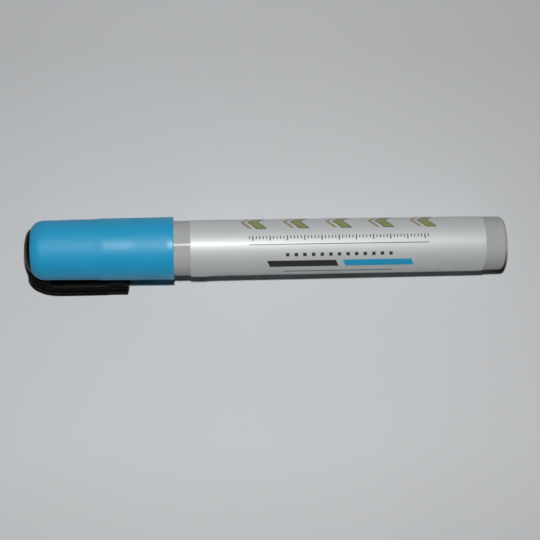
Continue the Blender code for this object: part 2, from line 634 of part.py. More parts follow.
def main():
    """Build every piece."""
    clear_scene()
    grey_plastic = finish_material("grey_plastic", (0.36, 0.38, 0.38), 0.38)
    silver_film = finish_material("silver_film", (0.55, 0.57, 0.57), 0.35, 0.6)
    blue_plastic = finish_material("blue_plastic", (0.02, 0.26, 0.48), 0.3)
    black_plastic = finish_material("black_plastic", (0.01, 0.01, 0.011), 0.3)
    natural_plastic = finish_material("natural_plastic", (0.72, 0.73, 0.70), 0.45)
    fibre = finish_material("nib_fibre", (0.82, 0.81, 0.76), 0.9)
    steel = finish_material("steel", (0.6, 0.6, 0.62), 0.25, 1.0)

    cap_slide = slide_frame("cap_slide", CAP_RIM, math.pi / 2 + clip_turn())
    nib_slide = slide_frame("nib_slide", NOSE_END)
    hinge_place = (CAP_RIM - CROWN_APEX + HINGE_DEPTH, 0.0, HINGE_HEIGHT)
    clip_hinge = add_object("clip_hinge", None, cap_slide, hinge_place)

    make_barrel(grey_plastic)
    make_label(silver_film)
    make_nib_holder(grey_plastic)
    make_valve_seat(natural_plastic)
    make_valve_cage(natural_plastic)
    make_valve_spring(steel)
    make_mixing_ball(steel)
    make_nib(fibre, nib_slide)
    make_valve_stem(natural_plastic, nib_slide)
    make_cap_shell(blue_plastic, cap_slide)
    make_inner_cap(natural_plastic, cap_slide)
    make_clip_crown(black_plastic, cap_slide)
    make_clip_arm(black_plastic, clip_hinge)
    bpy.context.view_layer.update()
    print("clip turn below horizontal: %.2f degrees" % math.degrees(clip_turn()))


main()
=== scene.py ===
"""Looks of a capped paint marker: finished surfaces, materials and a plain stage round its frame.

The pen axis lies on X. Along the pen, places are stations: distances forward of the barrel's rear
end, so x = -station. Angles go round the axis from +Y over +Z. On the clip, a place is a depth
behind the crown's apex and a height above the pen axis.
"""
import functools
import json
import math

import bmesh
import bpy
import numpy as np
from mathutils import Matrix, Vector


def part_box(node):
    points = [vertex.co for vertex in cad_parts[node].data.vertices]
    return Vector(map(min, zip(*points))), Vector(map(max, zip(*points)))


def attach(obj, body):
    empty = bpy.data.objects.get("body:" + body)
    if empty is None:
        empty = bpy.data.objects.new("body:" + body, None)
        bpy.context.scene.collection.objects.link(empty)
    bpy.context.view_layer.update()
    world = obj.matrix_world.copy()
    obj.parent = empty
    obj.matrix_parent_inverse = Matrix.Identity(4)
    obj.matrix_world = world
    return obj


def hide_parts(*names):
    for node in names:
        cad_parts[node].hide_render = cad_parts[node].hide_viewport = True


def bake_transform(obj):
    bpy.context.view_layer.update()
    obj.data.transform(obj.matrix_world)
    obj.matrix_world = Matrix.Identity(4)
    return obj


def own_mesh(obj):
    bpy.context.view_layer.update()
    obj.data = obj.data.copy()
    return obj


bl_info = {
    "name": "Paint marker looks",
    "version": (1, 0, 0),
    "blender": (4, 5, 0),
    "location": "View3D > Sidebar > Marker",
    "description": "Finished surfaces, materials and stage for a capped paint marker",
    "category": "Object",
}

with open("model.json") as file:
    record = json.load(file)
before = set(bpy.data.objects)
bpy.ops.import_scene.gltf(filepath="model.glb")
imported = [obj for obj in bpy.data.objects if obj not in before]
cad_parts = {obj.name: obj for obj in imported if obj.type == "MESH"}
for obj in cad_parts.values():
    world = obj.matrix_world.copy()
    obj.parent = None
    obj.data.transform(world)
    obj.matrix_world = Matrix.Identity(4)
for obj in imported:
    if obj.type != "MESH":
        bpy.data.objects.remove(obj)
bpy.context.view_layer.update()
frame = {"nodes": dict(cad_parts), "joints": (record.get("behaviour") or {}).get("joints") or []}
MM = 0.001
ROUND_STEPS = 160
FINE_ROUND_STEPS = 192
ARC_STEPS = 6
QUARTER = math.pi / 2
CREASE_ANGLE = math.radians(40.0)
MERGE_DISTANCE = 1e-7
LEAST_LENGTH = 1e-12
WHITE = (1.0, 1.0, 1.0, 1.0)
ACROSS_PEN = np.array([0.0, 1.0, 1.0])  # as a factor, drops the part along the pen
MARK_LABELS = ("Centre U", "Centre V", "Half length", "Half height", "Pitch", "Half span", "Slant", "Vee")
ALONE = 1000.0  # pitch and half span of a mark that is not in a row
# The label's print: each mark's ink and its values in the order above, with lengths in millimetres.
# U goes along the pen from the label's middle and V round it.
LABEL_MARKS = (
    ("print_dark", 0.0, -8.6, 1.55, 3.1, 12.4, 31.0, 0.0, 0.8),
    ("print_green", 0.0, -8.6, 1.25, 2.9, 12.4, 31.0, 0.0, 0.8),
    ("print_tan", 3.2, -8.6, 0.5, 2.9, 12.4, 31.0, 0.0, 0.8),
    ("print_dark", 0.0, -2.6, 0.14, 0.45, 1.0, 26.2, 0.0, 0.0),
    ("print_dark", 0.0, -2.4, 0.16, 0.75, 5.0, 26.2, 0.0, 0.0),
    ("print_dark", 0.0, -0.5, 26.2, 0.11, ALONE, ALONE, 0.0, 0.0),
    ("print_dark", 0.0, 2.6, 0.5, 0.5, 2.5, 16.2, 0.0, 0.0),
    ("print_dark", 10.5, 5.6, 10.0, 1.15, ALONE, ALONE, 0.4, 0.0),
    ("print_dark", 0.0, 9.1, 16.0, 0.25, ALONE, ALONE, 0.0, 0.0),
    ("cap", -11.5, 5.6, 10.0, 1.15, ALONE, ALONE, 0.4, 0.0),
)


def node_span(node):
    """Rear station, front station and radius of a turned node of the frame."""
    low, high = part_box(node)
    return -high.x, -low.x, high.z


BARREL_FRONT, BARREL_RADIUS = node_span("barrel")[1:]
LABEL_REAR, LABEL_FRONT, LABEL_RADIUS = node_span("barrel_label")
HOLDER_REAR, HOLDER_FRONT, HOLDER_RADIUS = node_span("nib_holder")
NIB_REAR, NIB_TIP, NIB_RADIUS = node_span("nib")
CAP_RIM, _, CAP_RADIUS = node_span("cap_shell")
INNER_MOUTH, SOCKET_END, FLANGE_RADIUS = node_span("inner_cap")
CROWN_STEM_END, CROWN_APEX, CROWN_REACH = node_span("clip_crown")
PEN_MIDDLE = Vector((-CROWN_APEX / 2, 0.0, 0.0))
JOINTS = {joint["name"]: joint for joint in frame["joints"]}
CLIP_HINGE = np.array(JOINTS["clip_flex"]["pos_m"])


# Settings

def size(label, millimetres, text):
    """A length property, written in millimetres and kept in metres."""
    return bpy.props.FloatProperty(name=label, description=text, default=millimetres * MM,
                                   min=0.0, precision=5, subtype="DISTANCE", unit="LENGTH")


def turn(label, degrees, text):
    """An angle property, written in degrees and kept in radians."""
    return bpy.props.FloatProperty(name=label, description=text, default=math.radians(degrees),
                                   subtype="ANGLE", unit="ROTATION")


def amount(label, value, text):
    """A plain number property."""
    return bpy.props.FloatProperty(name=label, description=text, default=value, precision=3)


def tint(label, colour, text):
    """A colour property in linear red, green and blue."""
    return bpy.props.FloatVectorProperty(name=label, description=text, default=colour, size=3,
                                         min=0.0, max=1.0, subtype="COLOR")


class BarrelSizes(bpy.types.PropertyGroup):
    """Sizes of the barrel, its label, the nib and the valve's spring."""

    draft: size("Draft", 0.13, "Drop of the barrel's radius from its mouth to its rear end")
    wall: size("Wall", 1.15, "Thickness of the barrel's wall")
    floor: size("Floor", 1.6, "Thickness of the barrel's closed end")
    rear_edge: size("Rear edge", 1.4, "Rounding of the barrel's rear edge")
    gate_radius: size("Gate radius", 1.3, "Dimple round the moulding gate in the rear end")
    gate_depth: size("Gate depth", 0.25, "Depth of that dimple")
    snap: size("Snap", 0.25, "Height of the rib that holds the nib holder in the barrel")
    snap_back: size("Snap place", 3.0, "How far that rib lies behind the barrel's mouth")
    snap_width: size("Snap width", 1.2, "Width of that rib")
    film: size("Film", 0.10, "Thickness of the label")
    film_gap: size("Film gap", 0.04, "Adhesive under the label")
    overlap: turn("Overlap", 18.0, "How far the label's outer end laps over its inner end")
    seam: turn("Seam", 197.0, "Where the label's outer end lies")
    lift: size("Lift", 0.36, "How far the label's loose front corner stands off")
    lift_reach: size("Lift reach", 8.0, "Length of the label that the loose corner bends")
    lift_turn: turn("Lift turn", 46.0, "Turn of the label that the loose corner bends")
    lift_tuck: size("Lift tuck", 2.2, "Length at the label's front edge over which it bends back")
    nib_bevel: turn("Nib bevel", 15.0, "Angle between each chisel face and the axis")
    nib_slant: turn("Nib slant", 20.0, "Lean of the chisel edge")
    nib_edge: size("Nib edge", 1.0, "Thickness of the chisel edge")
    nib_ease: size("Nib ease", 0.12, "Rounding of the nib's edges")
    spring: size("Spring", 1.8, "Mean radius of the valve's spring")
    spring_turns: amount("Spring turns", 8.5, "Turns of the valve's spring")
    wire: size("Wire", 0.25, "Radius of the spring's wire")


class CapSizes(bpy.types.PropertyGroup):
    """Sizes of the cap and of the clip with its crown."""

    wall: size("Wall", 0.95, "Thickness of the cap's side")
    end_wall: size("End wall", 1.4, "Thickness of the cap's end")
    skirt: size("Skirt", 20.0, "Length of the wide part of the cap")
    skirt_draft: size("Skirt draft", 0.14, "Drop of radius along the skirt")
    sink: size("Sink", 0.03, "Depth of the hollow that moulding left in the skirt")
    step: size("Step", 0.17, "Drop of radius where the skirt meets the top")
    step_length: size("Step length", 3.2, "Length of that soft step")
    top_draft: size("Top draft", 0.17, "Drop of radius along the top")
    corner: size("Corner", 4.2, "Rounding of the closed end")
    groove: size("Groove", 0.20, "Gap round the crown")
    crown_inset: size("Crown inset", 2.33, "How much smaller the crown is than the cap's end")
    crown_proud: size("Crown proud", 1.65, "How far the crown's apex stands out of the cap's end")
    crown_dome: size("Crown dome", 2.3, "Rise of the crown's dome")
    crown_base: size("Crown base", 2.6, "Depth of the crown's rear face")
    stem: size("Stem", 2.5, "Radius of the crown's stem")
    strap: size("Strap", 2.2, "Thickness of the strap between the crown and the clip")
    strap_rib: size("Strap rib", 0.9, "Height of the rib on the strap")
    neck: size("Neck", 0.30, "Straight strap between the flexing line and the bend")
    bend: size("Bend", 8.6, "Length of the clip's shoulder along the pen")
    gap_start: size("Gap start", 1.6, "How far before the bend's end the finger gap is fully open")
    finger_gap: size("Finger gap", 1.60, "Room under the clip, above the cap's rim")
    base: size("Base", 1.30, "Thickness of the clip's base")
    rib: size("Rib", 1.93, "Height of the rib along the clip")
    width: size("Width", 5.6, "Width of the clip's base")
    rib_width: size("Rib width", 4.0, "Width of the rib")
    channel_width: size("Channel width", 2.2, "Width of the hollow under the clip")
    channel_depth: size("Channel depth", 0.6, "Depth of that hollow")
    reach: size("Reach", 30.1, "Depth of the clip's free end behind the crown's apex")
    end_lean: size("End lean", 0.5, "How much shorter the rib is than the underside at the free end")
    end_ease: size("End ease", 0.5, "Rounding of the free end")
    pad_peak: size("Pad peak", 3.1, "How far the pad's peak lies back from the free end")
    pad_ramp: size("Pad ramp", 3.8, "Length of the slope that leads to the pad")
    pad_gap: size("Pad gap", 0.12, "Gap between the pad and the cap")
    pad_lip: size("Pad lip", 0.2, "How far the free end stays below the underside")
    bend_gap: size("Bend gap", 0.30, "Gap between the clip's shoulder and the cap's round corner")


class Finishes(bpy.types.PropertyGroup):
    """Colours of the marker's materials."""

    cap: tint("Cap", (0.011, 0.307, 0.546), "Blue of the moulded cap")
    grey: tint("Barrel", (0.385, 0.396, 0.385), "Grey of the moulded barrel")
    film: tint("Label", (0.560, 0.580, 0.585), "Silver of the label film")
    black: tint("Clip", (0.0020, 0.0020, 0.0021), "Black of the clip and crown")
    natural: tint("Natural", (0.70, 0.71, 0.68), "Milky plastic of the inner pieces")
    fibre: tint("Fibre", (0.80, 0.79, 0.74), "Pressed fibre of the nib")
    steel: tint("Steel", (0.58, 0.58, 0.60), "Spring wire and mixing ball")
    print_dark: tint("Dark print", (0.018, 0.018, 0.022), "Dark ink on the label")
    print_green: tint("Green print", (0.235, 0.270, 0.085), "Olive ink on the label")
    print_tan: tint("Tan print", (0.330, 0.235, 0.125), "Tan ink on the label")
    floor: tint("Floor", (0.590, 0.605, 0.620), "Pale floor")


class StageSettings(bpy.types.PropertyGroup):
    """Camera, lamps and background."""

    lens: amount("Lens", 85.0, "Focal length in millimetres on a 36 mm sensor")
    place: bpy.props.FloatVectorProperty(
        name="Camera place", description="Where the camera stands", size=3, subtype="TRANSLATION",
        unit="LENGTH", default=(-0.0915037, -0.0053063, 0.3743210))
    pitch: turn("Pitch", -0.2380, "Lean of the camera towards the top of the picture")
    yaw: turn("Yaw", -3.4177, "Turn of the camera towards the rear end")
    roll: turn("Roll", -1.0018, "Roll of the camera")
    flash_offset: size("Flash offset", 64.0, "How far the small lamp stands beside the camera")
    glint_offset: size("Glint offset", 93.0, "How far the lamp that only reflections show stands beside it")
    flash_size: size("Flash size", 14.0, "Side of the small lamps")
    flash_power: amount("Flash power", 1.30, "Power of the small lamps in watts")
    low_rise: turn("Low rise", 5.0, "Angle over the floor at which soft light comes in from the sides")
    low_spread: turn("Low spread", 8.0, "Spread of that light")
    low_power: amount("Low power", 0.17, "Strength of that light from each side in watts per square metre")
    fill: amount("Fill", 0.005, "Strength of the soft light from all round")
    mirrored: amount("Mirrored", 0.10, "Brightness of the background that reflections show")
    backdrop: amount("Backdrop", 0.50, "Brightness of the background that the camera sees")
    # The floor's colour carries painted shade: darker towards +Y, lighter towards -Y.
    painted_shade_reach: size("Shade reach", 60.0, "Distance from the pen over which the floor's shade changes")
    painted_shade_swing: amount("Shade swing", 0.18, "How much lighter and darker the floor is at its two sides")
    near_floor: size("Near floor", 100.0, "Distance up to which only the lamps light the floor")
    far_floor: size("Far floor", 550.0, "Distance from which the floor is as bright as the background")


# Outlines

def in_mm(*lengths):
    """Lengths in millimetres."""
    return [length / MM for length in lengths]


def unit(vectors):
    """Vectors divided by their length; a vector of no length stays as it is."""
    return vectors / np.maximum(np.linalg.norm(vectors, axis=-1, keepdims=True), LEAST_LENGTH)


def smooth(share):
    """A ramp from 0 to 1 that is level at both ends: 3t^2 - 2t^3, with t held between 0 and 1."""
    held = np.clip(share, 0.0, 1.0)
    return held * held * (3.0 - 2.0 * held)


def eased(corners, steps=ARC_STEPS):
    """Closed outlines of (across, along, easing) corners, each corner turned into an arc.

    An arc of radius e at a corner that turns by f starts e tan(f/2) before the corner, and its
    centre lies e / cos(f/2) from the corner on the line that halves it. One more point stands
    outside each end of the arc, so that flat sides stay flat when they are shaded smooth.
    Returns the points and, for each, 1 on an arc and 0 outside.
    """
    corners = np.asarray(corners, float)
    spot, ease = corners[..., :2], corners[..., 2:]
    arrive = unit(spot - np.roll(spot, 1, axis=-2))
    leave = unit(np.roll(spot, -1, axis=-2) - spot)
    inward = unit(leave - arrive)
    onward = unit(leave + arrive)
    angle = np.arccos(np.clip((arrive * leave).sum(-1, keepdims=True), -1.0, 1.0))
    spare = ease * np.tan(angle / 2) + ease * angle / steps
    centre = spot + inward * ease / np.cos(angle / 2)
    sweep = angle[..., None, :] * np.linspace(-0.5, 0.5, steps + 1)[:, None]
    ring = onward[..., None, :] * np.sin(sweep) - inward[..., None, :] * np.cos(sweep)
    arcs = centre[..., None, :] + ease[..., None, :] * ring
    before = (spot - arrive * spare)[..., None, :]
    after = (spot + leave * spare)[..., None, :]
    points = np.concatenate([before, arcs, after], axis=-2)
    marks = np.zeros(points.shape[:-1])
    marks[..., 1:-1] = ease > 0.0
    flat = points.shape[:-3] + (-1,)
    return points.reshape(flat + (2,)), marks.reshape(flat)


def plain(points):
    """Corners without easing at the given points."""
    return np.column_stack([points, np.zeros(len(points))])


def polar(station, radius, angle):
    """Points at x = -station, y = radius cos(angle), z = radius sin(angle)."""
    parts = np.broadcast_arrays(-station, radius * np.cos(angle), radius * np.sin(angle))
    return np.stack(parts, axis=-1)


def around(steps):
    """Angles once round the axis, without the last."""
    return np.linspace(0.0, 2.0 * np.pi, steps, endpoint=False)


# Meshes

def grid_mesh(name, points, wrap=(False, True), marks=None):
    """A mesh of quads over a grid of points, closed along each axis that wraps; marks tell edges."""
    rows, columns = points.shape[:2]
    index = np.arange(rows * columns).reshape(rows, columns)
    if wrap[0]:
        index = np.concatenate([index, index[:1]], axis=0)
    if wrap[1]:
        index = np.concatenate([index, index[:, :1]], axis=1)
    quads = np.stack([index[:-1, :-1], index[1:, :-1], index[1:, 1:], index[:-1, 1:]], axis=-1)
    mesh = bpy.data.meshes.new(name)
    mesh.from_pydata(points.reshape(-1, 3), [], quads.reshape(-1, 4).tolist())
    if marks is not None:
        values = np.broadcast_to(marks, (rows, columns)).astype(np.float32)
        mesh.attributes.new("edge", "FLOAT", "POINT").data.foreach_set("value", values.ravel())
    return mesh


def close_mesh(mesh):
    """Merge poles and seams, fill open ends and point the faces outwards."""
    shape = bmesh.new()
    shape.from_mesh(mesh)
    bmesh.ops.remove_doubles(shape, verts=shape.verts, dist=MERGE_DISTANCE)
    bare = [edge for edge in shape.edges if not edge.link_faces]
    bmesh.ops.delete(shape, geom=bare, context="EDGES")
    bmesh.ops.holes_fill(shape, edges=shape.edges)
    bmesh.ops.recalc_face_normals(shape, faces=shape.faces)
    if shape.calc_volume(signed=True) < 0.0:
        bmesh.ops.reverse_faces(shape, faces=shape.faces)
    shape.to_mesh(mesh)
    shape.free()
    return mesh


def add_object(name, data):
    """Link a mesh, a camera or a lamp as an object at the origin."""
    obj = bpy.data.objects.new(name, data)
    bpy.context.scene.collection.objects.link(obj)
    return obj


def closed_object(name, points, wrap=(False, True), marks=None):
    """An object with a closed mesh over a grid of points."""
    return add_object(name, close_mesh(grid_mesh(name, points, wrap, marks)))


def turned_object(name, corners, steps=ROUND_STEPS, marked=True):
    """A closed outline of (station, radius, easing) corners in metres, spun round the pen axis.

    The point of the outline at place t and of the circle at angle a lies at
    (-station(t), radius(t) cos a, radius(t) sin a).
    """
    points, marks = eased(corners)
    keep = np.linalg.norm(np.diff(points, axis=0, prepend=points[-1:]), axis=-1) > MERGE_DISTANCE
    station, radius = points[keep].T[..., None]
    grid = polar(station, np.maximum(radius, 0.0), around(steps)[None, :])
    return closed_object(name, grid, (True, True), marks[keep, None] if marked else None)


def boolean(piece, other, operation):
    """Cut a piece with another object or join it on, for good, and remove the other."""
    modifier = piece.modifiers.new(operation, "BOOLEAN")
    modifier.operation = operation
    modifier.solver = "EXACT"
    modifier.object = other
    ready = piece.evaluated_get(bpy.context.evaluated_depsgraph_get())
    mesh = bpy.data.meshes.new_from_object(ready)
    if not mesh.polygons:
        raise RuntimeError(f"{piece.name}: {operation} left nothing")
    piece.modifiers.clear()
    piece.data = mesh
    bpy.data.objects.remove(other, do_unlink=True)


def finish_piece(piece, material, nodes, body=None):
    """Shade a piece, give it its material, hang it on its body when one is given, and hide the nodes it
    stands for.
    """
    piece.data.materials.clear()
    piece.data.materials.append(material)
    piece.data.shade_smooth()
    piece.data.set_sharp_from_angle(angle=CREASE_ANGLE)
    if body:
        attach(piece, body)
    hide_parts(*nodes)


# Shader helpers

def feed(tree, sockets, values):
    """Give each named socket a constant, or a link from another node's output."""
    for key, value in values.items():
        if isinstance(value, bpy.types.NodeSocket):
            tree.links.new(value, sockets[key])
        else:
            sockets[key].default_value = value


def place(tree, kind, values=None, **settings):
    """Add a node with its settings and inputs, and return its outputs."""
    made = tree.nodes.new(kind)
    for key, value in settings.items():
        setattr(made, key, value)
    feed(tree, made.inputs, values or {})
    return made.outputs


def maths(tree, operation, *values):
    """The output of a Math node."""
    return place(tree, "ShaderNodeMath", dict(enumerate(values)), operation=operation)[0]


def scaled(tree, value, factor, rest):
    """The value times the factor plus the rest."""
    return maths(tree, "MULTIPLY_ADD", value, factor, rest)


def object_place(tree):
    """The place on the piece, in metres."""
    return place(tree, "ShaderNodeTexCoord")["Object"]


def parts_of(tree, spot):
    """The X, Y and Z of a place."""
    return place(tree, "ShaderNodeSeparateXYZ", {"Vector": spot})


def noise(tree, spot, scale, detail):
    """Noise at a place; a scale of three numbers draws it out along an axis."""
    if isinstance(scale, tuple):
        spot = place(tree, "ShaderNodeMapping", {"Vector": spot, "Scale": scale})[0]
        scale = 1.0
    return place(tree, "ShaderNodeTexNoise", {"Vector": spot, "Scale": scale, "Detail": detail})[0]


def shaded(tree, colour, value):
    """A colour made lighter or darker by a value round 1."""
    return place(tree, "ShaderNodeHueSaturation", {"Value": value, "Color": colour})[0]


def relief(tree, height, depth):
    """A normal with bumps of the given height and depth in metres."""
    return place(tree, "ShaderNodeBump", {"Strength": 1.0, "Distance": depth, "Height": height})[0]


def new_group(name, inputs, outputs):
    """A shader node group whose sockets are named with their defaults, its inputs and its outputs."""
    tree = bpy.data.node_groups.new(name, "ShaderNodeTree")
    for side, sockets in (("INPUT", inputs), ("OUTPUT", outputs)):
        for label, value in sockets.items():
            kind = "NodeSocketColor" if isinstance(value, tuple) else "NodeSocketFloat"
            tree.interface.new_socket(name=label, in_out=side, socket_type=kind).default_value = value
    return tree, tree.nodes.new("NodeGroupInput").outputs, tree.nodes.new("NodeGroupOutput").inputs


def new_material(name, **constants):
    """A material, its tree and its Principled shader's inputs, with the constant ones set."""
    material = bpy.data.materials.new(name)
    material.use_nodes = True
    tree = material.node_tree
    inputs = tree.nodes["Principled BSDF"].inputs
    feed(tree, inputs, {label.replace("_", " "): value for label, value in constants.items()})
    return material, tree, inputs


def colour_of(finish):
    """One of the colours in the settings, opaque."""
    return (*getattr(bpy.context.scene.marker_finishes, finish), 1.0)


@functools.cache
def moulded_skin():
    """Moulded plastic: cloudy colour, fine spark texture, marked edges painted lighter (partly rubbed wear,
    partly painted highlight) and faint lengthwise scuffs.
    """
    inputs = {"Colour": WHITE, "Colour shift": 0.05, "Roughness": 0.35, "Roughness shift": 0.08,
              "Edge": 0.0, "Edge wear and sheen": 0.1, "Scuffs": 0.1}
    outputs = {"Colour": WHITE, "Roughness": 0.5, "Height": 0.0}
    tree, given, result = new_group("moulded_skin", inputs, outputs)
    spot = object_place(tree)
    cloud = maths(tree, "SUBTRACT", noise(tree, spot, 140.0, 3.0), 0.5)
    grain = noise(tree, spot, 3200.0, 2.0)
    streak = noise(tree, spot, (90.0, 1500.0, 1500.0), 4.0)
    ramp = place(tree, "ShaderNodeMapRange", {"Value": streak, "From Min": 0.62, "From Max": 0.74})[0]
    scuff = maths(tree, "MULTIPLY", ramp, given["Scuffs"])
    # Marked edges get a lighter colour: partly rubbed wear, partly a painted highlight along the edge.
    wear_and_sheen = maths(tree, "MULTIPLY", given["Edge"], given["Edge wear and sheen"])
    value = scaled(tree, cloud, given["Colour shift"], 1.0)
    value = scaled(tree, scuff, 0.5, maths(tree, "ADD", value, wear_and_sheen))
    swing = maths(tree, "SUBTRACT", grain, 0.5)
    rough = scaled(tree, swing, given["Roughness shift"], given["Roughness"])
    rough = scaled(tree, cloud, given["Roughness shift"], rough)
    feed(tree, result, {"Colour": shaded(tree, given["Colour"], value),
                        "Roughness": maths(tree, "ADD", rough, scuff),
                        "Height": scaled(tree, scuff, -0.5, grain)})
    return tree


@functools.cache
def printed_mark():
    """A printed bar, row of bars or row of chevrons, as a mask over places (U, V) in millimetres.

    U is wrapped to the pitch round the centre, moved by Slant times V and by Vee times the
    distance of V from the centre line, and the mark is where both distances from the centre
    are under the half sizes and U is within the half span.
    """
    inputs = dict.fromkeys(("U", "V", *MARK_LABELS), 0.0)
    tree, given, result = new_group("printed_mark", inputs, {"Mask": 0.0})
    across = maths(tree, "SUBTRACT", given["V"], given["Centre V"])
    away = maths(tree, "ABSOLUTE", across)
    along = maths(tree, "SUBTRACT", given["U"], given["Centre U"])
    span = maths(tree, "LESS_THAN", maths(tree, "ABSOLUTE", along), given["Half span"])
    along = scaled(tree, across, given["Slant"], along)
    along = scaled(tree, away, given["Vee"], along)
    half = maths(tree, "MULTIPLY", given["Pitch"], 0.5)
    back = maths(tree, "MULTIPLY", given["Pitch"], -0.5)
    local = maths(tree, "ABSOLUTE", maths(tree, "WRAP", along, half, back))
    inside = maths(tree, "LESS_THAN", local, given["Half length"])
    high = maths(tree, "LESS_THAN", away, given["Half height"])
    feed(tree, result, {"Mask": maths(tree, "MULTIPLY", maths(tree, "MULTIPLY", inside, high), span)})
    return tree


# Materials

def plastic(name, finish, roughness, skin, depth, **constants):
    """A moulded plastic: the shared skin drives colour, roughness and bump.

    finish names its colour in the settings. skin gives the shift of colour and of roughness, the
    lightening of marked edges (rubbed wear and painted highlight) and the scuffs; depth is the depth of the
    grain.
    """
    material, tree, inputs = new_material(name, **constants)
    values = dict(zip(("Colour shift", "Roughness shift", "Edge wear and sheen", "Scuffs"), skin))
    values["Colour"] = colour_of(finish)
    values["Roughness"] = roughness
    values["Edge"] = place(tree, "ShaderNodeAttribute", attribute_name="edge")["Fac"]
    made = place(tree, "ShaderNodeGroup", values, node_tree=moulded_skin(), name="skin")
    feed(tree, inputs, {"Base Color": made["Colour"], "Roughness": made["Roughness"],
                        "Normal": relief(tree, made["Height"], depth)})
    return material


def cap_plastic():
    """Blue polypropylene, polished by use: the rim and a patch of the skirt shine more than the top.

    The stops give the roughness at shares of the way from the rim to the crown's apex.
    """
    stops = [(0.0, 0.40), (0.03, 0.41), (0.055, 0.53), (0.24, 0.54), (0.30, 0.465), (0.455, 0.47),
             (0.475, 0.57), (1.0, 0.58)]
    # The rim and the other marked edges are painted a little lighter: partly wear, partly a painted
    # highlight.
    material = plastic("blue_cap_plastic", "cap", 0.5, (0.10, 0.06, 0.12, 0.06), 0.004 * MM)
    tree = material.node_tree
    limits = {"Value": parts_of(tree, object_place(tree))["X"], "From Min": -CAP_RIM,
              "From Max": -CROWN_APEX}
    share = place(tree, "ShaderNodeMapRange", limits)[0]
    worn = place(tree, "ShaderNodeValToRGB", {"Fac": share})["Color"]
    ramp = worn.node.color_ramp.elements
    for spot, _ in stops[1:-1]:
        ramp.new(spot)
    for element, (spot, roughness) in zip(ramp, stops):
        element.position = spot
        element.color = (roughness, roughness, roughness, 1.0)
    feed(tree, tree.nodes["skin"].inputs, {"Roughness": worn})
    return material


@functools.cache
def barrel_plastic():
    """Grey polypropylene with a satin gloss."""
    return plastic("grey_barrel_plastic", "grey", 0.20, (0.08, 0.06, 0.05, 0.08), 0.003 * MM,
                   Specular_IOR_Level=0.045)


def clip_plastic():
    """Black plastic whose marked edges are painted lighter as highlight lines, with a little rubbed wear."""
    return plastic("black_clip_plastic", "black", 0.36, (0.4, 0.10, 3.0, 0.10), 0.005 * MM,
                   Specular_IOR_Level=0.11)


@functools.cache
def natural_plastic():
    """Milky polyethylene of the pieces inside."""
    return plastic("natural_inner_plastic", "natural", 0.42, (0.06, 0.08, 0.02, 0.04), 0.004 * MM,
                   Subsurface_Weight=0.15, Subsurface_Scale=0.001)


def label_film():
    """Satin silver film under a clear coat, with a printed design of bars, ticks and chevrons."""
    metal_share = 0.24
    material, tree, inputs = new_material("silver_label_film", Coat_Weight=0.33, Coat_Roughness=0.31)
    spot = object_place(tree)
    axes = parts_of(tree, spot)
    u = maths(tree, "MULTIPLY", axes["X"], -1.0 / MM)
    bearing = maths(tree, "ARCTAN2", axes["Y"], axes["Z"])
    v = maths(tree, "MULTIPLY", bearing, -LABEL_RADIUS / MM)
    cloud = noise(tree, spot, 90.0, 3.0)
    grain = noise(tree, spot, 5200.0, 1.0)
    colour = shaded(tree, colour_of("film"), scaled(tree, cloud, 0.06, 0.97))
    cover = 0.0
    for ink, along, *mark in LABEL_MARKS:
        centre = (LABEL_REAR + LABEL_FRONT) / 2 / MM + along
        values = {"U": u, "V": v, **dict(zip(MARK_LABELS, (centre, *mark)))}
        mask = place(tree, "ShaderNodeGroup", values, node_tree=printed_mark())["Mask"]
        inked = {0: mask, 6: colour, 7: colour_of(ink)}
        colour = place(tree, "ShaderNodeMix", inked, data_type="RGBA")[2]
        cover = maths(tree, "MAXIMUM", cover, mask)
    feed(tree, inputs, {"Base Color": colour, "Metallic": scaled(tree, cover, -metal_share, metal_share),
                        "Roughness": scaled(tree, grain, 0.08, 0.54),
                        "Normal": relief(tree, grain, 0.002 * MM)})
    return material


def nib_fibre():
    """Pressed fibre: fine strands along the nib, with open pores."""
    material, tree, inputs = new_material("pressed_nib_fibre", Sheen_Weight=0.2)
    spot = object_place(tree)
    strand = noise(tree, spot, (900.0, 9000.0, 9000.0), 3.0)
    pore = place(tree, "ShaderNodeTexVoronoi", {"Vector": spot, "Scale": 5200.0})["Distance"]
    value = scaled(tree, pore, 0.12, scaled(tree, strand, 0.45, 0.72))
    height = maths(tree, "ADD", strand, pore)
    feed(tree, inputs, {"Base Color": shaded(tree, colour_of("fibre"), value),
                        "Roughness": scaled(tree, pore, 0.15, 0.80),
                        "Normal": relief(tree, height, 0.04 * MM)})
    return material


def steel(name, roughness, scale):
    """Steel with fine drawing or lapping marks."""
    material, tree, inputs = new_material(name, Metallic=1.0)
    marks = noise(tree, object_place(tree), scale, 3.0)
    value = scaled(tree, marks, 0.3, 0.85)
    feed(tree, inputs, {"Base Color": shaded(tree, colour_of("steel"), value),
                        "Roughness": scaled(tree, marks, 0.2, roughness - 0.1)})
    return material


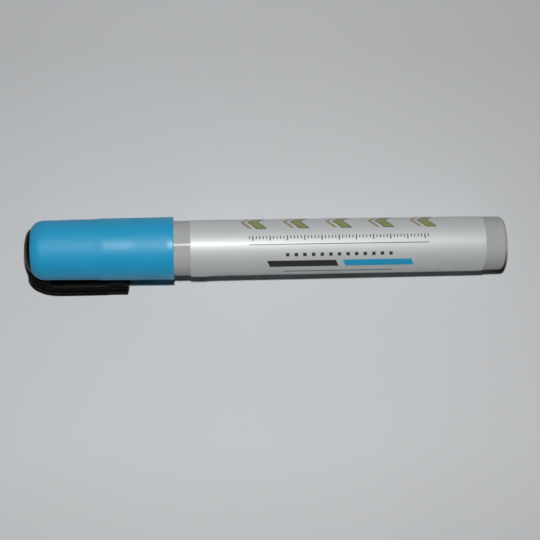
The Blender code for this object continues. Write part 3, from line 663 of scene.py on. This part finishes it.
def floor_paper():
    """Pale matt card, mottled, with painted shade that makes it darker on the +Y side of the pen and lighter
    on the -Y side; it fades into the background far off.

    The fade is a glow for rays that show the floor itself: straight, in gloss or through something.
    """
    stage = bpy.context.scene.marker_stage
    mottle = 0.04
    material, tree, inputs = new_material("pale_floor", Roughness=0.9, Specular_IOR_Level=0.1,
                                          Emission_Color=WHITE)
    spot = object_place(tree)
    # Painted shade: the floor's colour goes from lighter at -Y to darker at +Y.
    sides = {"Value": parts_of(tree, spot)["Y"], "From Min": -stage.painted_shade_reach,
             "From Max": stage.painted_shade_reach, "To Min": 1.0 + stage.painted_shade_swing,
             "To Max": 1.0 - stage.painted_shade_swing}
    side = maths(tree, "SUBTRACT", place(tree, "ShaderNodeMapRange", sides)[0], mottle / 2)
    value = scaled(tree, noise(tree, spot, 14.0, 2.0), mottle, side)
    away = place(tree, "ShaderNodeVectorMath", {0: spot, 1: PEN_MIDDLE}, operation="DISTANCE")["Value"]
    limits = {"Value": away, "From Min": stage.near_floor, "From Max": stage.far_floor,
              "To Max": stage.backdrop}
    fade = place(tree, "ShaderNodeMapRange", limits, interpolation_type="SMOOTHSTEP")[0]
    path = place(tree, "ShaderNodeLightPath")
    seen = maths(tree, "MAXIMUM", path["Is Camera Ray"], path["Is Transmission Ray"])
    seen = maths(tree, "MAXIMUM", seen, path["Is Glossy Ray"])
    feed(tree, inputs, {"Base Color": shaded(tree, colour_of("floor"), value),
                        "Emission Strength": maths(tree, "MULTIPLY", fade, seen)})
    return material


# Barrel and what it holds

class MARKER_OT_barrel(bpy.types.Operator):
    """Turn the barrel: a bottle with a rounded rear edge and a gate dimple in its closed end"""

    bl_idname = "marker.barrel"
    bl_label = "Barrel"

    def execute(self, context):
        """The outline leads from the dimple round to the mouth, and back inside over the snap groove."""
        sizes = context.scene.marker_barrel
        front, radius, wall, floor = in_mm(BARREL_FRONT, BARREL_RADIUS, sizes.wall, sizes.floor)
        draft, edge, gate, dip = in_mm(sizes.draft, sizes.rear_edge, sizes.gate_radius, sizes.gate_depth)
        snap, width, back = in_mm(sizes.snap, sizes.snap_width, sizes.snap_back)
        rear, bore, groove = radius - draft, radius - wall, front - back
        corners = [(dip / 2, 0.0, 0.0), (dip / 2, gate / 3, 0.04), (dip, gate / 3, 0.04), (dip, gate, 0.08),
                   (0.0, gate, 0.1), (0.0, rear, edge), (front, radius, 0.15), (front, bore, 0.2),
                   (groove, bore, 0.05), (groove, bore + snap, 0.1), (groove - width, bore + snap, 0.1),
                   (groove - width, bore, 0.05), (floor, rear - wall, 0.8), (floor, 0.0, 0.0)]
        piece = turned_object("barrel_bottle", np.array(corners) * MM)
        finish_piece(piece, barrel_plastic(), ["barrel"], "barrel")
        return {"FINISHED"}


class MARKER_OT_label(bpy.types.Operator):
    """Wrap the label film round the barrel, with a lapped seam and a loose front corner"""

    bl_idname = "marker.label"
    bl_label = "Label"

    def execute(self, context):
        """The sheet turns from under its own outer end once round and over it.

        Its radius is the barrel's plus the adhesive, raised by one film where the outer end laps
        the inner one, and by the lift times smooth ramps near the loose front corner: up along and
        round the pen, then half way down again at the front edge.
        """
        sizes = context.scene.marker_barrel
        lap, seam, film, tuck = sizes.overlap, sizes.seam, sizes.film, sizes.lift_tuck
        rows, tuck_share = 97, 0.5
        angle = np.linspace(seam - 2 * np.pi - lap, seam, 2 * ROUND_STEPS + 1)[None, :]
        edges = [LABEL_REAR + film / 2, LABEL_FRONT - film / 2]
        station = np.sort(np.concatenate([np.linspace(LABEL_REAR, LABEL_FRONT, rows), edges]))[:, None]
        barrel = BARREL_RADIUS - sizes.draft * (1.0 - station / BARREL_FRONT)
        over = smooth((angle - (seam - 2.0 * lap)) / lap)
        loose = smooth((angle - (seam - sizes.lift_turn)) / sizes.lift_turn)
        front = smooth((station - (LABEL_FRONT - sizes.lift_reach)) / (sizes.lift_reach - tuck))
        front = front * (1.0 - tuck_share * smooth((station - (LABEL_FRONT - tuck)) / tuck))
        skin = sizes.film_gap + film
        radius = barrel + skin + over * skin + sizes.lift * loose * front
        name = "barrel_label_film"
        piece = add_object(name, grid_mesh(name, polar(station, radius, angle), (False, False)))
        wall = piece.modifiers.new("film", "SOLIDIFY")
        wall.thickness = film
        wall.offset = -1.0
        finish_piece(piece, label_film(), ["barrel_label"], "barrel")
        return {"FINISHED"}


class MARKER_OT_nib_holder(bpy.types.Operator):
    """Turn the nib holder: spigot, collar, cap guide with a bead, seal land and nose"""

    bl_idname = "marker.nib_holder"
    bl_label = "Nib holder"

    def execute(self, context):
        """The outline leads forward over the spigot's snap rib, the collar and the nose, and back inside."""
        sizes = context.scene.marker_barrel
        rear, front, collar, nib = in_mm(HOLDER_REAR, HOLDER_FRONT, HOLDER_RADIUS, NIB_RADIUS)
        mouth, snap, width, back = in_mm(BARREL_FRONT, sizes.snap, sizes.snap_width, sizes.snap_back)
        bore, chamber, pocket, nose = nib + 0.12, nib + 0.6, 4.4, nib + 1.12
        land, guide, spigot = nose + 1.0, collar - 0.7, collar - 1.26
        rib = mouth - back - width
        rib_end = rib + width
        start = mouth + 0.1
        collar_end, bead, guide_end, land_end = start + 2.0, start + 4.5, start + 9.0, start + 13.0
        bore_end, pocket_end = front - 9.0, rear + 5.1
        corners = [(rear, pocket, 0.1), (rear, spigot, 0.3), (rib + 0.1, spigot, 0.05),
                   (rib + 0.2, spigot + snap, 0.15), (rib_end - 0.2, spigot + snap, 0.15),
                   (rib_end - 0.1, spigot, 0.05), (start, spigot, 0.05), (start, collar, 0.12),
                   (collar_end, collar, 0.25), (collar_end, guide, 0.15), (bead, guide, 0.2),
                   (bead + 0.6, guide + 0.25, 0.5), (bead + 1.2, guide, 0.2), (guide_end, guide, 0.4),
                   (guide_end, land, 0.2), (land_end, land, 0.3), (front, nose, 0.35), (front, bore, 0.15),
                   (bore_end, bore, 0.1), (bore_end, chamber, 0.1), (pocket_end, chamber, 0.1),
                   (pocket_end, pocket, 0.1)]
        piece = turned_object("nib_holder_moulding", np.array(corners) * MM)
        finish_piece(piece, barrel_plastic(), ["nib_holder"], "barrel")
        return {"FINISHED"}


class MARKER_OT_nib(bpy.types.Operator):
    """Cut the fibre nib to a chisel with a leaning edge"""

    bl_idname = "marker.nib"
    bl_label = "Nib"

    def execute(self, context):
        """A rod whose radius at angle a is held under h(s) / |sin a|.

        h(s) is half the edge plus the distance from the tip times the tangent of the bevel, and the
        rod blends softly into the chisel faces. Each line along the rod ends on the leaning plane
        s = tip - (R - y) tan(slant). A quarter arc eases both ends, and the end faces close on their
        centres.
        """
        sizes = context.scene.marker_barrel
        round_steps, rod_rows, arc_rows, face_rows, passes = 240, 61, 6, 5, 30
        ease, blend, least_sine = sizes.nib_ease, 0.06 * MM, 1e-4
        angle = around(round_steps)[None, :]

        def limit(station):
            half = sizes.nib_edge / 2 + (NIB_TIP - station) * math.tan(sizes.nib_bevel)
            face = half / np.maximum(np.abs(np.sin(angle)), least_sine)
            low = np.minimum(face, NIB_RADIUS)
            return low - blend * np.log(np.exp((low - face) / blend) + np.exp((low - NIB_RADIUS) / blend))

        def leaning(radius):
            return NIB_TIP - (NIB_RADIUS - radius * np.cos(angle)) * math.tan(sizes.nib_slant)

        end = np.full_like(angle, NIB_TIP)
        for _ in range(passes):
            end = leaning(limit(end))
        rod = NIB_REAR + ease + (end - ease - NIB_REAR - ease) * np.linspace(0.0, 1.0, rod_rows)[:, None]
        arc = np.linspace(0.0, QUARTER, arc_rows)[:, None]
        inset = ease * (1.0 - np.cos(arc))
        tip = end - ease + ease * np.sin(arc)
        tip_radius = limit(np.minimum(tip, end)) - inset
        rear = NIB_REAR + ease - ease * np.sin(arc[::-1]) + 0.0 * angle
        rear_radius = limit(rear) - inset[::-1]
        shrink = np.linspace(0.8, 0.0, face_rows)[:, None]
        face_radius = tip_radius[-1:] * shrink
        back_radius = rear_radius[:1] * shrink[::-1]
        back = np.full_like(back_radius, NIB_REAR)
        stations = np.concatenate([back, rear, rod, tip, leaning(face_radius)])
        radii = np.concatenate([back_radius, rear_radius, limit(rod), tip_radius, face_radius])
        piece = closed_object("nib_chisel", polar(stations, radii, angle))
        finish_piece(piece, nib_fibre(), ["nib"], "nib")
        return {"FINISHED"}


class MARKER_OT_valve(bpy.types.Operator):
    """Finish the valve's seat, cage and stem, and draw its spring and the mixing ball"""

    bl_idname = "marker.valve"
    bl_label = "Valve and ball"

    def execute(self, context):
        for node in ("valve_seat", "valve_cage", "valve_stem"):
            frame["nodes"][node].data.materials.clear()
            frame["nodes"][node].data.materials.append(natural_plastic())
        self.spring(context.scene.marker_barrel)
        self.ball()
        return {"FINISHED"}

    def spring(self, sizes):
        """The wire follows a helix; near each end the pitch falls smoothly to a closed coil.

        A point at angle a round the wire lies off the helix by the wire radius times
        (n cos a + b sin a), with n towards the axis and b square to n and to the path.
        """
        low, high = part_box("valve_spring")
        wire, rows, sides = sizes.wire, 701, 12
        closed_pitch, closed_share = 0.2, 0.16
        along = np.linspace(0.0, 1.0, rows)
        opened = smooth(np.minimum(along, 1.0 - along) / closed_share)
        pitch = np.minimum(1.0, closed_pitch + (1.0 - closed_pitch) * opened)
        travel = np.concatenate([[0.0], np.cumsum((pitch[1:] + pitch[:-1]) / 2)])
        station = -high.x + wire + (high.x - low.x - 2 * wire) * travel / travel[-1]
        path = polar(station, sizes.spring, 2 * np.pi * sizes.spring_turns * along)
        forward = unit(np.gradient(path, axis=0))
        side = unit(np.cross(forward, unit(-path * ACROSS_PEN)))
        inward = np.cross(side, forward)
        ring = around(sides)[None, :, None]
        tube = inward[:, None, :] * np.cos(ring) + side[:, None, :] * np.sin(ring)
        tube = path[:, None, :] + wire * tube
        start, end = (np.repeat(spot[:, None, :], sides, axis=1) for spot in (path[:1], path[-1:]))
        spring = closed_object("valve_spring_wire", np.concatenate([start, tube, end]))
        finish_piece(spring, steel("drawn_spring_wire", 0.3, 4000.0), ["valve_spring"],
                     "barrel")
        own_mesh(spring)

    def ball(self):
        """At height angle h and round angle a: radius times (cos h, sin h cos a, sin h sin a)."""
        low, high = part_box("mixing_ball")
        rows, round_steps = 41, 80
        radius = (high.x - low.x) / 2
        height = np.linspace(0.0, np.pi, rows)[:, None]
        shell = polar(-radius * np.cos(height), radius * np.sin(height), around(round_steps)[None, :])
        ball = closed_object("mixing_ball_steel", shell + np.array((low + high) / 2))
        finish_piece(ball, steel("polished_ball_steel", 0.16, 900.0), ["mixing_ball"], "ball")


# Cap and clip

def cap_end_radius(sizes):
    """Radius of the cap where its round corner starts."""
    return CAP_RADIUS - sizes.skirt_draft - sizes.step - sizes.top_draft


class MARKER_OT_cap(bpy.types.Operator):
    """Turn the cap with its sunk skirt, soft step, round end and crown recess, and cut the clip's notch"""

    bl_idname = "marker.cap"
    bl_label = "Cap"

    def execute(self, context):
        """Outside, the radius falls by the skirt's draft, a smooth step and the top's draft.

        The skirt is hollowed by the sink times the square of a sine over its length. Then
        a quarter circle leads into the recess for the crown. The first rows give way to the
        rim's rounding.
        """
        sizes = context.scene.marker_cap
        rows, arc_rows, rim_rows = 140, 40, 4
        corner, wall, play, fine = sizes.corner, sizes.wall, 0.1 * MM, 0.1 * MM
        last = CROWN_APEX - sizes.crown_proud - corner
        skirt_end = CAP_RIM + sizes.skirt
        step_end = skirt_end + sizes.step_length
        station = np.linspace(CAP_RIM, last, rows)
        along = np.clip((station - CAP_RIM) / sizes.skirt, 0.0, 1.0)
        radius = CAP_RADIUS - sizes.skirt_draft * along - sizes.sink * np.sin(np.pi * along) ** 2
        radius = radius - sizes.step * smooth((station - skirt_end) / sizes.step_length)
        radius = radius - sizes.top_draft * np.clip((station - step_end) / (last - step_end), 0.0, 1.0)
        end_radius = cap_end_radius(sizes)
        recess = end_radius - sizes.crown_inset + sizes.groove
        lip = recess + 0.15 * MM
        bend = np.linspace(QUARTER, math.asin((lip - end_radius + corner) / corner), arc_rows)
        arc = np.stack([last + corner * np.cos(bend), end_radius - corner + corner * np.sin(bend)], axis=-1)
        outside = np.concatenate([np.stack([station, radius], axis=-1)[rim_rows:-1], arc])
        floor = CROWN_APEX - sizes.crown_base - play
        cavity = floor - sizes.end_wall
        inside = end_radius - wall
        stem = sizes.stem + play
        rim = [(CAP_RIM, CAP_RADIUS - wall, 0.2 * MM), (CAP_RIM, CAP_RADIUS, 0.22 * MM)]
        inner = [(arc[-1, 0], recess, fine), (floor, recess, fine), (floor, stem, fine), (cavity, stem, fine),
                 (cavity, inside, 1.0 * MM), (skirt_end, inside + play, 0.4 * MM),
                 (skirt_end - 3.0 * MM, CAP_RADIUS - wall - sizes.skirt_draft, 0.4 * MM)]
        corners = np.concatenate([rim, plain(outside), inner])
        shell = turned_object("cap_shell_moulding", corners, FINE_ROUND_STEPS)
        half, side_play, front_reach, rear_play = sizes.width / 2, 0.12 * MM, 1.0 * MM, 0.82 * MM
        notch = clip_box(half + side_play, -front_reach, sizes.strap + rear_play,
                         math.sqrt(recess ** 2 - half ** 2) - sizes.groove, 2 * CAP_RADIUS)
        boolean(shell, notch, "DIFFERENCE")
        finish_piece(shell, cap_plastic(), ["cap_shell"], "cap")
        return {"FINISHED"}


class MARKER_OT_inner_cap(bpy.types.Operator):
    """Turn the inner cap: a seal cup with a flange and a socket for the crown's stem"""

    bl_idname = "marker.inner_cap"
    bl_label = "Inner cap"

    def execute(self, context):
        """The outline leads out of the cup, over its mouth and back, then round flange and socket."""
        mouth, end, flange, nib = in_mm(INNER_MOUTH, SOCKET_END, FLANGE_RADIUS, NIB_RADIUS)
        stem = context.scene.marker_cap.stem / MM + 0.1
        bore = nib + 2.24
        wall, socket_wall = bore + 0.8, stem + 1.5
        cup, socket = end - 5.7, end - 4.7
        corners = [(cup, 0.0, 0.0), (cup, bore, 0.6), (mouth, bore, 0.25), (mouth, wall, 0.3),
                   (cup, wall, 0.3), (cup, flange, 0.15), (socket, flange, 0.15), (socket, socket_wall, 0.3),
                   (end, socket_wall, 0.2), (end, stem, 0.3), (socket, stem, 0.2), (socket, 0.0, 0.0)]
        piece = turned_object("inner_cap_cup", np.array(corners) * MM)
        finish_piece(piece, natural_plastic(), ["inner_cap"], "cap")
        return {"FINISHED"}


def clip_axes():
    """Directions of depth, of width and of height on the clip."""
    depth = np.array([1.0, 0.0, 0.0])
    height = unit(CLIP_HINGE * ACROSS_PEN)
    return depth, np.cross(height, depth), height


def clip_points(*parts):
    """World places of points given by depth behind the crown's apex, place across and height."""
    moves = [np.asarray(part)[..., None] * axis for part, axis in zip(parts, clip_axes())]
    return np.array([-CROWN_APEX, 0.0, 0.0]) + moves[0] + moves[1] + moves[2]


def clip_box(half, near, far, low, high):
    """A box on the clip's axes, used as a cutter."""
    depth = np.array([[near, near, far, far]] * 2)
    across = np.array([[-half, half, half, -half]] * 2)
    height = np.array([[low] * 4, [high] * 4])
    return closed_object("clip_notch", clip_points(depth, across, height))


def clip_path(sizes):
    """Underside, base and rib of the clip from inside the crown to its free end.

    Each is an array of (depth, height) places. The shoulder's outer sides are quarter ellipses;
    its inner side keeps the bend gap to the cap's round corner and then rises in a smooth ramp.
    The arm is straight, and near its end the underside dips to a pad. Returned beside them is the
    depth of the channel underneath, which opens after the shoulder and closes before the pad.
    """
    root_rows, bend_rows, arm_rows = 24, 49, 120
    root_share, leave_height, leave_length = 0.5, 6.0 * MM, 0.9 * MM
    channel_start, channel_opening, channel_closing = 1.0 * MM, 2.5 * MM, 1.5 * MM
    top = CLIP_HINGE[0] + CROWN_APEX - sizes.strap / 2
    bend_height = np.linalg.norm(CLIP_HINGE[1:]) + sizes.neck
    bend_depth = top + sizes.bend
    under = CAP_RADIUS + sizes.finger_gap
    base = under + sizes.base
    rib = base + sizes.rib
    end_radius = cap_end_radius(sizes)
    corner_depth = sizes.crown_proud + sizes.corner
    corner_height = end_radius - sizes.corner
    hug = sizes.corner + sizes.bend_gap

    height = np.linspace(root_share * end_radius, bend_height, root_rows)[:-1]
    strap_under = sizes.crown_base - 0.1 * MM
    leave = smooth((height - leave_height) / leave_length)
    ones = np.ones_like(height)
    root = np.stack([strap_under + (top + sizes.strap - strap_under) * leave, height,
                     (top + sizes.strap_rib) * ones, height, top * ones, height], axis=-1)

    angle = np.linspace(0.0, QUARTER, bend_rows)
    back, rise = np.cos(angle), np.sin(angle)
    share = angle / (QUARTER / 2)
    start = math.asin((bend_height - corner_height) / hug)
    hug_turn = start + (QUARTER - start) * np.clip(share, 0.0, 1.0)
    ramp = np.clip(share - 1.0, 0.0, 1.0)
    under_depth = np.where(share <= 1.0, corner_depth - hug * np.cos(hug_turn),
                           corner_depth + (bend_depth - sizes.gap_start - corner_depth) * ramp)
    under_height = np.where(share <= 1.0, corner_height + hug * np.sin(hug_turn),
                            corner_height + hug + (under - corner_height - hug) * smooth(ramp))
    base_bend = sizes.bend - sizes.strap_rib
    shoulder = np.stack([under_depth, under_height, bend_depth - base_bend * back,
                         bend_height + (base - bend_height) * rise, bend_depth - sizes.bend * back,
                         bend_height + (rib - bend_height) * rise], axis=-1)

    peak = sizes.reach - sizes.pad_peak
    depth = np.linspace(bend_depth, sizes.reach, arm_rows)[1:]
    drop = under - CAP_RADIUS - sizes.pad_gap
    dip = smooth((depth - peak + sizes.pad_ramp) / sizes.pad_ramp)
    back_up = smooth((depth - peak) / sizes.pad_peak) * (1.0 - sizes.pad_lip / drop)
    ones = np.ones_like(depth)
    arm = np.stack([depth, under - drop * (dip - back_up), depth, base * ones, depth, rib * ones], axis=-1)
    path = np.concatenate([root, shoulder, arm])
    opening = smooth((path[:, 0] - bend_depth + channel_start) / channel_opening)
    closing = smooth((peak - sizes.pad_ramp - path[:, 0]) / channel_closing)
    return path[:, 0:2], path[:, 2:4], path[:, 4:6], sizes.channel_depth * opening * closing


class MARKER_OT_clip(bpy.types.Operator):
    """Mould the crown, strap and clip arm as one piece, with a shoulder over the cap's round corner"""

    bl_idname = "marker.clip"
    bl_label = "Clip and crown"

    def execute(self, context):
        """A rise up to the base's thickness runs from the underside to the base, and a higher one to the rib.

        The sections follow the clip's path. At the free end they shrink over a quarter arc and close on
        their middle, and the end leans by the rise's share of its height.
        """
        sizes = context.scene.marker_cap
        under, base, rib, channel = clip_path(sizes)
        rows, tip_rows, lean_start, lean_rows = len(under), 7, 60.0, 50.0
        thick = np.linalg.norm(base - under, axis=-1)
        proud = np.linalg.norm(rib - base, axis=-1)
        across, rise, marks = self.section(sizes, thick, proud, channel)
        ease, middle = sizes.end_ease, thick[-1] / 2
        tip = np.linspace(0.0, QUARTER, tip_rows)[1:]
        inset = ease * (1.0 - np.cos(tip))[:, None]
        tip_rise = middle + (rise[-1:] - middle) * (1.0 - inset / proud[-1])
        tip_across = across[-1:] * (1.0 - inset / (sizes.width / 2))
        across = np.concatenate([across, tip_across, across[-1:] * 0.0])
        rise = np.concatenate([rise, tip_rise, np.full_like(rise[-1:], middle)])
        advance = np.concatenate([np.zeros(rows), ease * np.sin(tip), [ease]]) - ease
        ramp = smooth((np.arange(len(advance)) - rows + lean_start) / lean_rows)
        lean = sizes.end_lean * rise / (thick[-1] + proud[-1])
        advance = (advance[:, None] - lean) * ramp[:, None]

        def lengthened(part):
            return np.concatenate([part, np.repeat(part[-1:], tip_rows, axis=0)])[:, None]

        under, base, rib, thick, proud = (lengthened(part) for part in (under, base, rib, thick, proud))
        low = np.minimum(rise, thick) / thick
        high = np.maximum(rise - thick, 0.0) / proud
        flat = under + (base - under) * low[..., None] + (rib - base) * high[..., None]
        # The free end counts as an edge, so it gets a painted highlight line too.
        marks = np.concatenate([marks, np.ones((tip_rows, marks.shape[1]))])
        points = clip_points(flat[..., 0] + advance, across, flat[..., 1])
        clip = closed_object("clip_moulding", points, marks=marks)
        boolean(clip, self.crown(sizes), "UNION")
        self.clear_marks(clip.data, CROWN_REACH)
        finish_piece(clip, clip_plastic(), ["clip_crown", "clip_arm"])
        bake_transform(clip)
        return {"FINISHED"}

    def section(self, sizes, thick, proud, channel):
        """Sections as (across, rise above the underside) and edge marks, one row for each place on the path.

        Each has a base, a narrower rib and a channel underneath, with eased corners: up one side, down the
        other and through the channel. The base's lower edges and the channel's count as edges even where
        they are sharp, and the rib's top ones don't.
        """
        side_ease, channel_ease, steps = 0.3, 0.8 * MM, 5
        lower, upper = (0, 7, 8, 11), (3, 4)
        half, half_rib, half_channel = sizes.width / 2, sizes.rib_width / 2, sizes.channel_width / 2
        zero = np.zeros_like(thick)
        sides = [(half, zero, 0.25), (half, thick, 0.30), (half_rib, thick, 0.15),
                 (half_rib, thick + proud, 0.56)]
        dips = [(-half_channel, zero, 0.12), (-half_channel, channel, 0.25), (half_channel, channel, 0.25),
                (half_channel, zero, 0.12)]
        outline = sides + [(-across, rise, ease) for across, rise, ease in reversed(sides)] + dips
        across, rise, ease = zip(*outline)
        ease = np.array(ease) * MM
        opened = np.minimum(1.0, channel / channel_ease)[:, None]
        in_channel = np.arange(len(outline)) >= len(outline) - len(dips)
        ease = np.where(in_channel, ease * opened, np.minimum(ease, side_ease * thick[:, None]))
        corners = np.stack([np.broadcast_to(across, ease.shape), np.stack(rise, axis=-1), ease], axis=-1)
        points, marks = eased(corners, steps)
        by_corner = marks.reshape(*ease.shape, -1)
        # Marked edges get painted highlight lines through the skin's edge lightening; the rib's top edges get
        # none.
        by_corner[:, lower] = 1.0
        by_corner[:, upper] = 0.0
        return points[..., 0], points[..., 1], by_corner.reshape(marks.shape)

    def clear_marks(self, mesh, radius):
        """Take the edge marks off all points within a radius of the pen axis, which the union mixed up."""
        places = np.empty(3 * len(mesh.vertices), np.float32)
        mesh.vertices.foreach_get("co", places)
        edge = mesh.attributes["edge"].data
        marks = np.empty(len(edge), np.float32)
        edge.foreach_get("value", marks)
        away = np.hypot(*places.reshape(-1, 3)[:, 1:].T)
        edge.foreach_set("value", np.where(away > radius, marks, 0.0).astype(np.float32))

    def crown(self, sizes):
        """A domed button, half an ellipse, and its stem, turned round the axis."""
        rows = 33
        radius = cap_end_radius(sizes) - sizes.crown_inset
        angle = np.linspace(QUARTER, 0.0, rows)
        station = CROWN_APEX - sizes.crown_dome * (1.0 - np.sin(angle))
        dome = plain(np.stack([station, radius * np.cos(angle)], axis=-1))
        base = CROWN_APEX - sizes.crown_base
        below = [(base, radius, 0.15 * MM), (base, sizes.stem, 0.2 * MM),
                 (CROWN_STEM_END, sizes.stem, 0.3 * MM), (CROWN_STEM_END, 0.0, 0.0)]
        return turned_object("crown", np.concatenate([dome, below]), FINE_ROUND_STEPS, marked=False)


# Stage

class MARKER_OT_stage(bpy.types.Operator):
    """Lay the pale floor under the pen, and set the camera, the lamps and the background"""

    bl_idname = "marker.stage"
    bl_label = "Stage"

    def execute(self, context):
        settings = context.scene.marker_stage
        floor = self.floor(context.scene.marker_barrel.draft)
        self.camera(settings)
        self.lamps(settings, floor)
        self.background(settings)
        context.scene.view_settings.view_transform = "Standard"
        return {"FINISHED"}

    def floor(self, draft):
        """A plane just under the lowest points of the cap's rim and of the label's rear end."""
        half, gap = 2.0, 0.02 * MM
        slope = (CAP_RADIUS - LABEL_RADIUS + draft) / (CAP_RIM - LABEL_REAR)
        x, y = np.meshgrid((-half, half), (-half, half), indexing="ij")
        z = -CAP_RADIUS + (x + CAP_RIM) * slope - gap
        floor = add_object("floor", grid_mesh("floor", np.stack([x, y, z], axis=-1), (False, False)))
        floor.data.flip_normals()
        floor.data.materials.append(floor_paper())
        return floor

    def camera(self, settings):
        """A camera that looks down, then turned by roll, pitch and yaw."""
        lens = bpy.data.cameras.new("camera")
        lens.lens = settings.lens
        lens.sensor_width = 36.0
        lens.clip_start = 10.0 * MM
        camera = add_object("camera", lens)
        turns = Matrix.Rotation(settings.yaw, 4, "Y") @ Matrix.Rotation(settings.pitch, 4, "X")
        turns = turns @ Matrix.Rotation(settings.roll, 4, "Z")
        camera.matrix_world = Matrix.Translation(settings.place) @ turns
        bpy.context.scene.camera = camera

    def lamps(self, settings, floor):
        """Two small lamps beside the camera, one that lights and one that shows as gloss.

        Soft ones come in low from the sides. They leave the floor out, so that the pen's shadow stays deep.
        """
        for name, offset, glossy in (("flash", settings.flash_offset, False),
                                     ("glint", settings.glint_offset, True)):
            lamp = self.lamp(name, "AREA", Vector(settings.place) + Vector((0.0, offset, 0.0)),
                             shape="SQUARE", size=settings.flash_size, energy=settings.flash_power)
            lamp.visible_glossy = glossy
            lamp.visible_diffuse = not glossy
        spared = bpy.data.collections.new("spared_by_low_light")
        spared.objects.link(floor)
        spared.collection_objects[0].light_linking.link_state = "EXCLUDE"
        rise = math.tan(settings.low_rise)
        for name, x, y in (("low_side", 0.0, -1.0), ("low_rear", 1.0, 0.0), ("low_front", -1.0, 0.0)):
            lamp = self.lamp(name, "SUN", PEN_MIDDLE + Vector((x, y, rise)), angle=settings.low_spread,
                             energy=settings.low_power)
            lamp.visible_glossy = False
            lamp.light_linking.receiver_collection = spared

    def lamp(self, name, kind, spot, **settings):
        """A lamp at a spot, turned towards the middle of the pen."""
        data = bpy.data.lights.new(name, kind)
        for key, value in settings.items():
            setattr(data, key, value)
        lamp = add_object(name, data)
        lamp.location = spot
        lamp.rotation_euler = (PEN_MIDDLE - spot).to_track_quat("-Z", "Y").to_euler()
        return lamp

    def background(self, settings):
        """A soft even light, which the camera and reflections see as a pale background."""
        world = bpy.data.worlds.new("background")
        bpy.context.scene.world = world
        world.use_nodes = True
        tree = world.node_tree
        fill = settings.fill
        path = place(tree, "ShaderNodeLightPath")
        seen = maths(tree, "MAXIMUM", path["Is Camera Ray"], path["Is Transmission Ray"])
        strength = scaled(tree, path["Is Glossy Ray"], settings.mirrored - fill, fill)
        strength = scaled(tree, seen, settings.backdrop - fill, strength)
        feed(tree, tree.nodes["Background"].inputs, {"Color": WHITE, "Strength": strength})


OPERATORS = (MARKER_OT_barrel, MARKER_OT_label, MARKER_OT_nib_holder, MARKER_OT_nib, MARKER_OT_valve,
             MARKER_OT_cap, MARKER_OT_inner_cap, MARKER_OT_clip, MARKER_OT_stage)
GROUPS = {"marker_barrel": BarrelSizes, "marker_cap": CapSizes, "marker_finishes": Finishes,
          "marker_stage": StageSettings}


class MARKER_PT_looks(bpy.types.Panel):
    """Lists the pieces and the sizes and colours that they take"""

    bl_idname = "MARKER_PT_looks"
    bl_label = "Paint marker"
    bl_space_type = "VIEW_3D"
    bl_region_type = "UI"
    bl_category = "Marker"

    def draw(self, context):
        for operator in OPERATORS:
            self.layout.operator(operator.bl_idname)
        for group in GROUPS:
            settings = getattr(context.scene, group)
            box = self.layout.box()
            for key in settings.bl_rna.properties.keys():
                if key not in ("rna_type", "name"):
                    box.prop(settings, key)


CLASSES = (*GROUPS.values(), *OPERATORS, MARKER_PT_looks)


def register():
    """Register the classes and hang the settings on the scene."""
    for cls in CLASSES:
        bpy.utils.register_class(cls)
    for group, cls in GROUPS.items():
        setattr(bpy.types.Scene, group, bpy.props.PointerProperty(type=cls))


def unregister():
    """Undo what register did."""
    for group in GROUPS:
        delattr(bpy.types.Scene, group)
    for cls in reversed(CLASSES):
        bpy.utils.unregister_class(cls)


def main():
    """Make every piece and the stage."""
    register()
    bpy.ops.marker.barrel()
    bpy.ops.marker.label()
    bpy.ops.marker.nib_holder()
    bpy.ops.marker.nib()
    bpy.ops.marker.valve()
    bpy.ops.marker.cap()
    bpy.ops.marker.inner_cap()
    bpy.ops.marker.clip()
    bpy.ops.marker.stage()


if __name__ == "__main__":
    main()
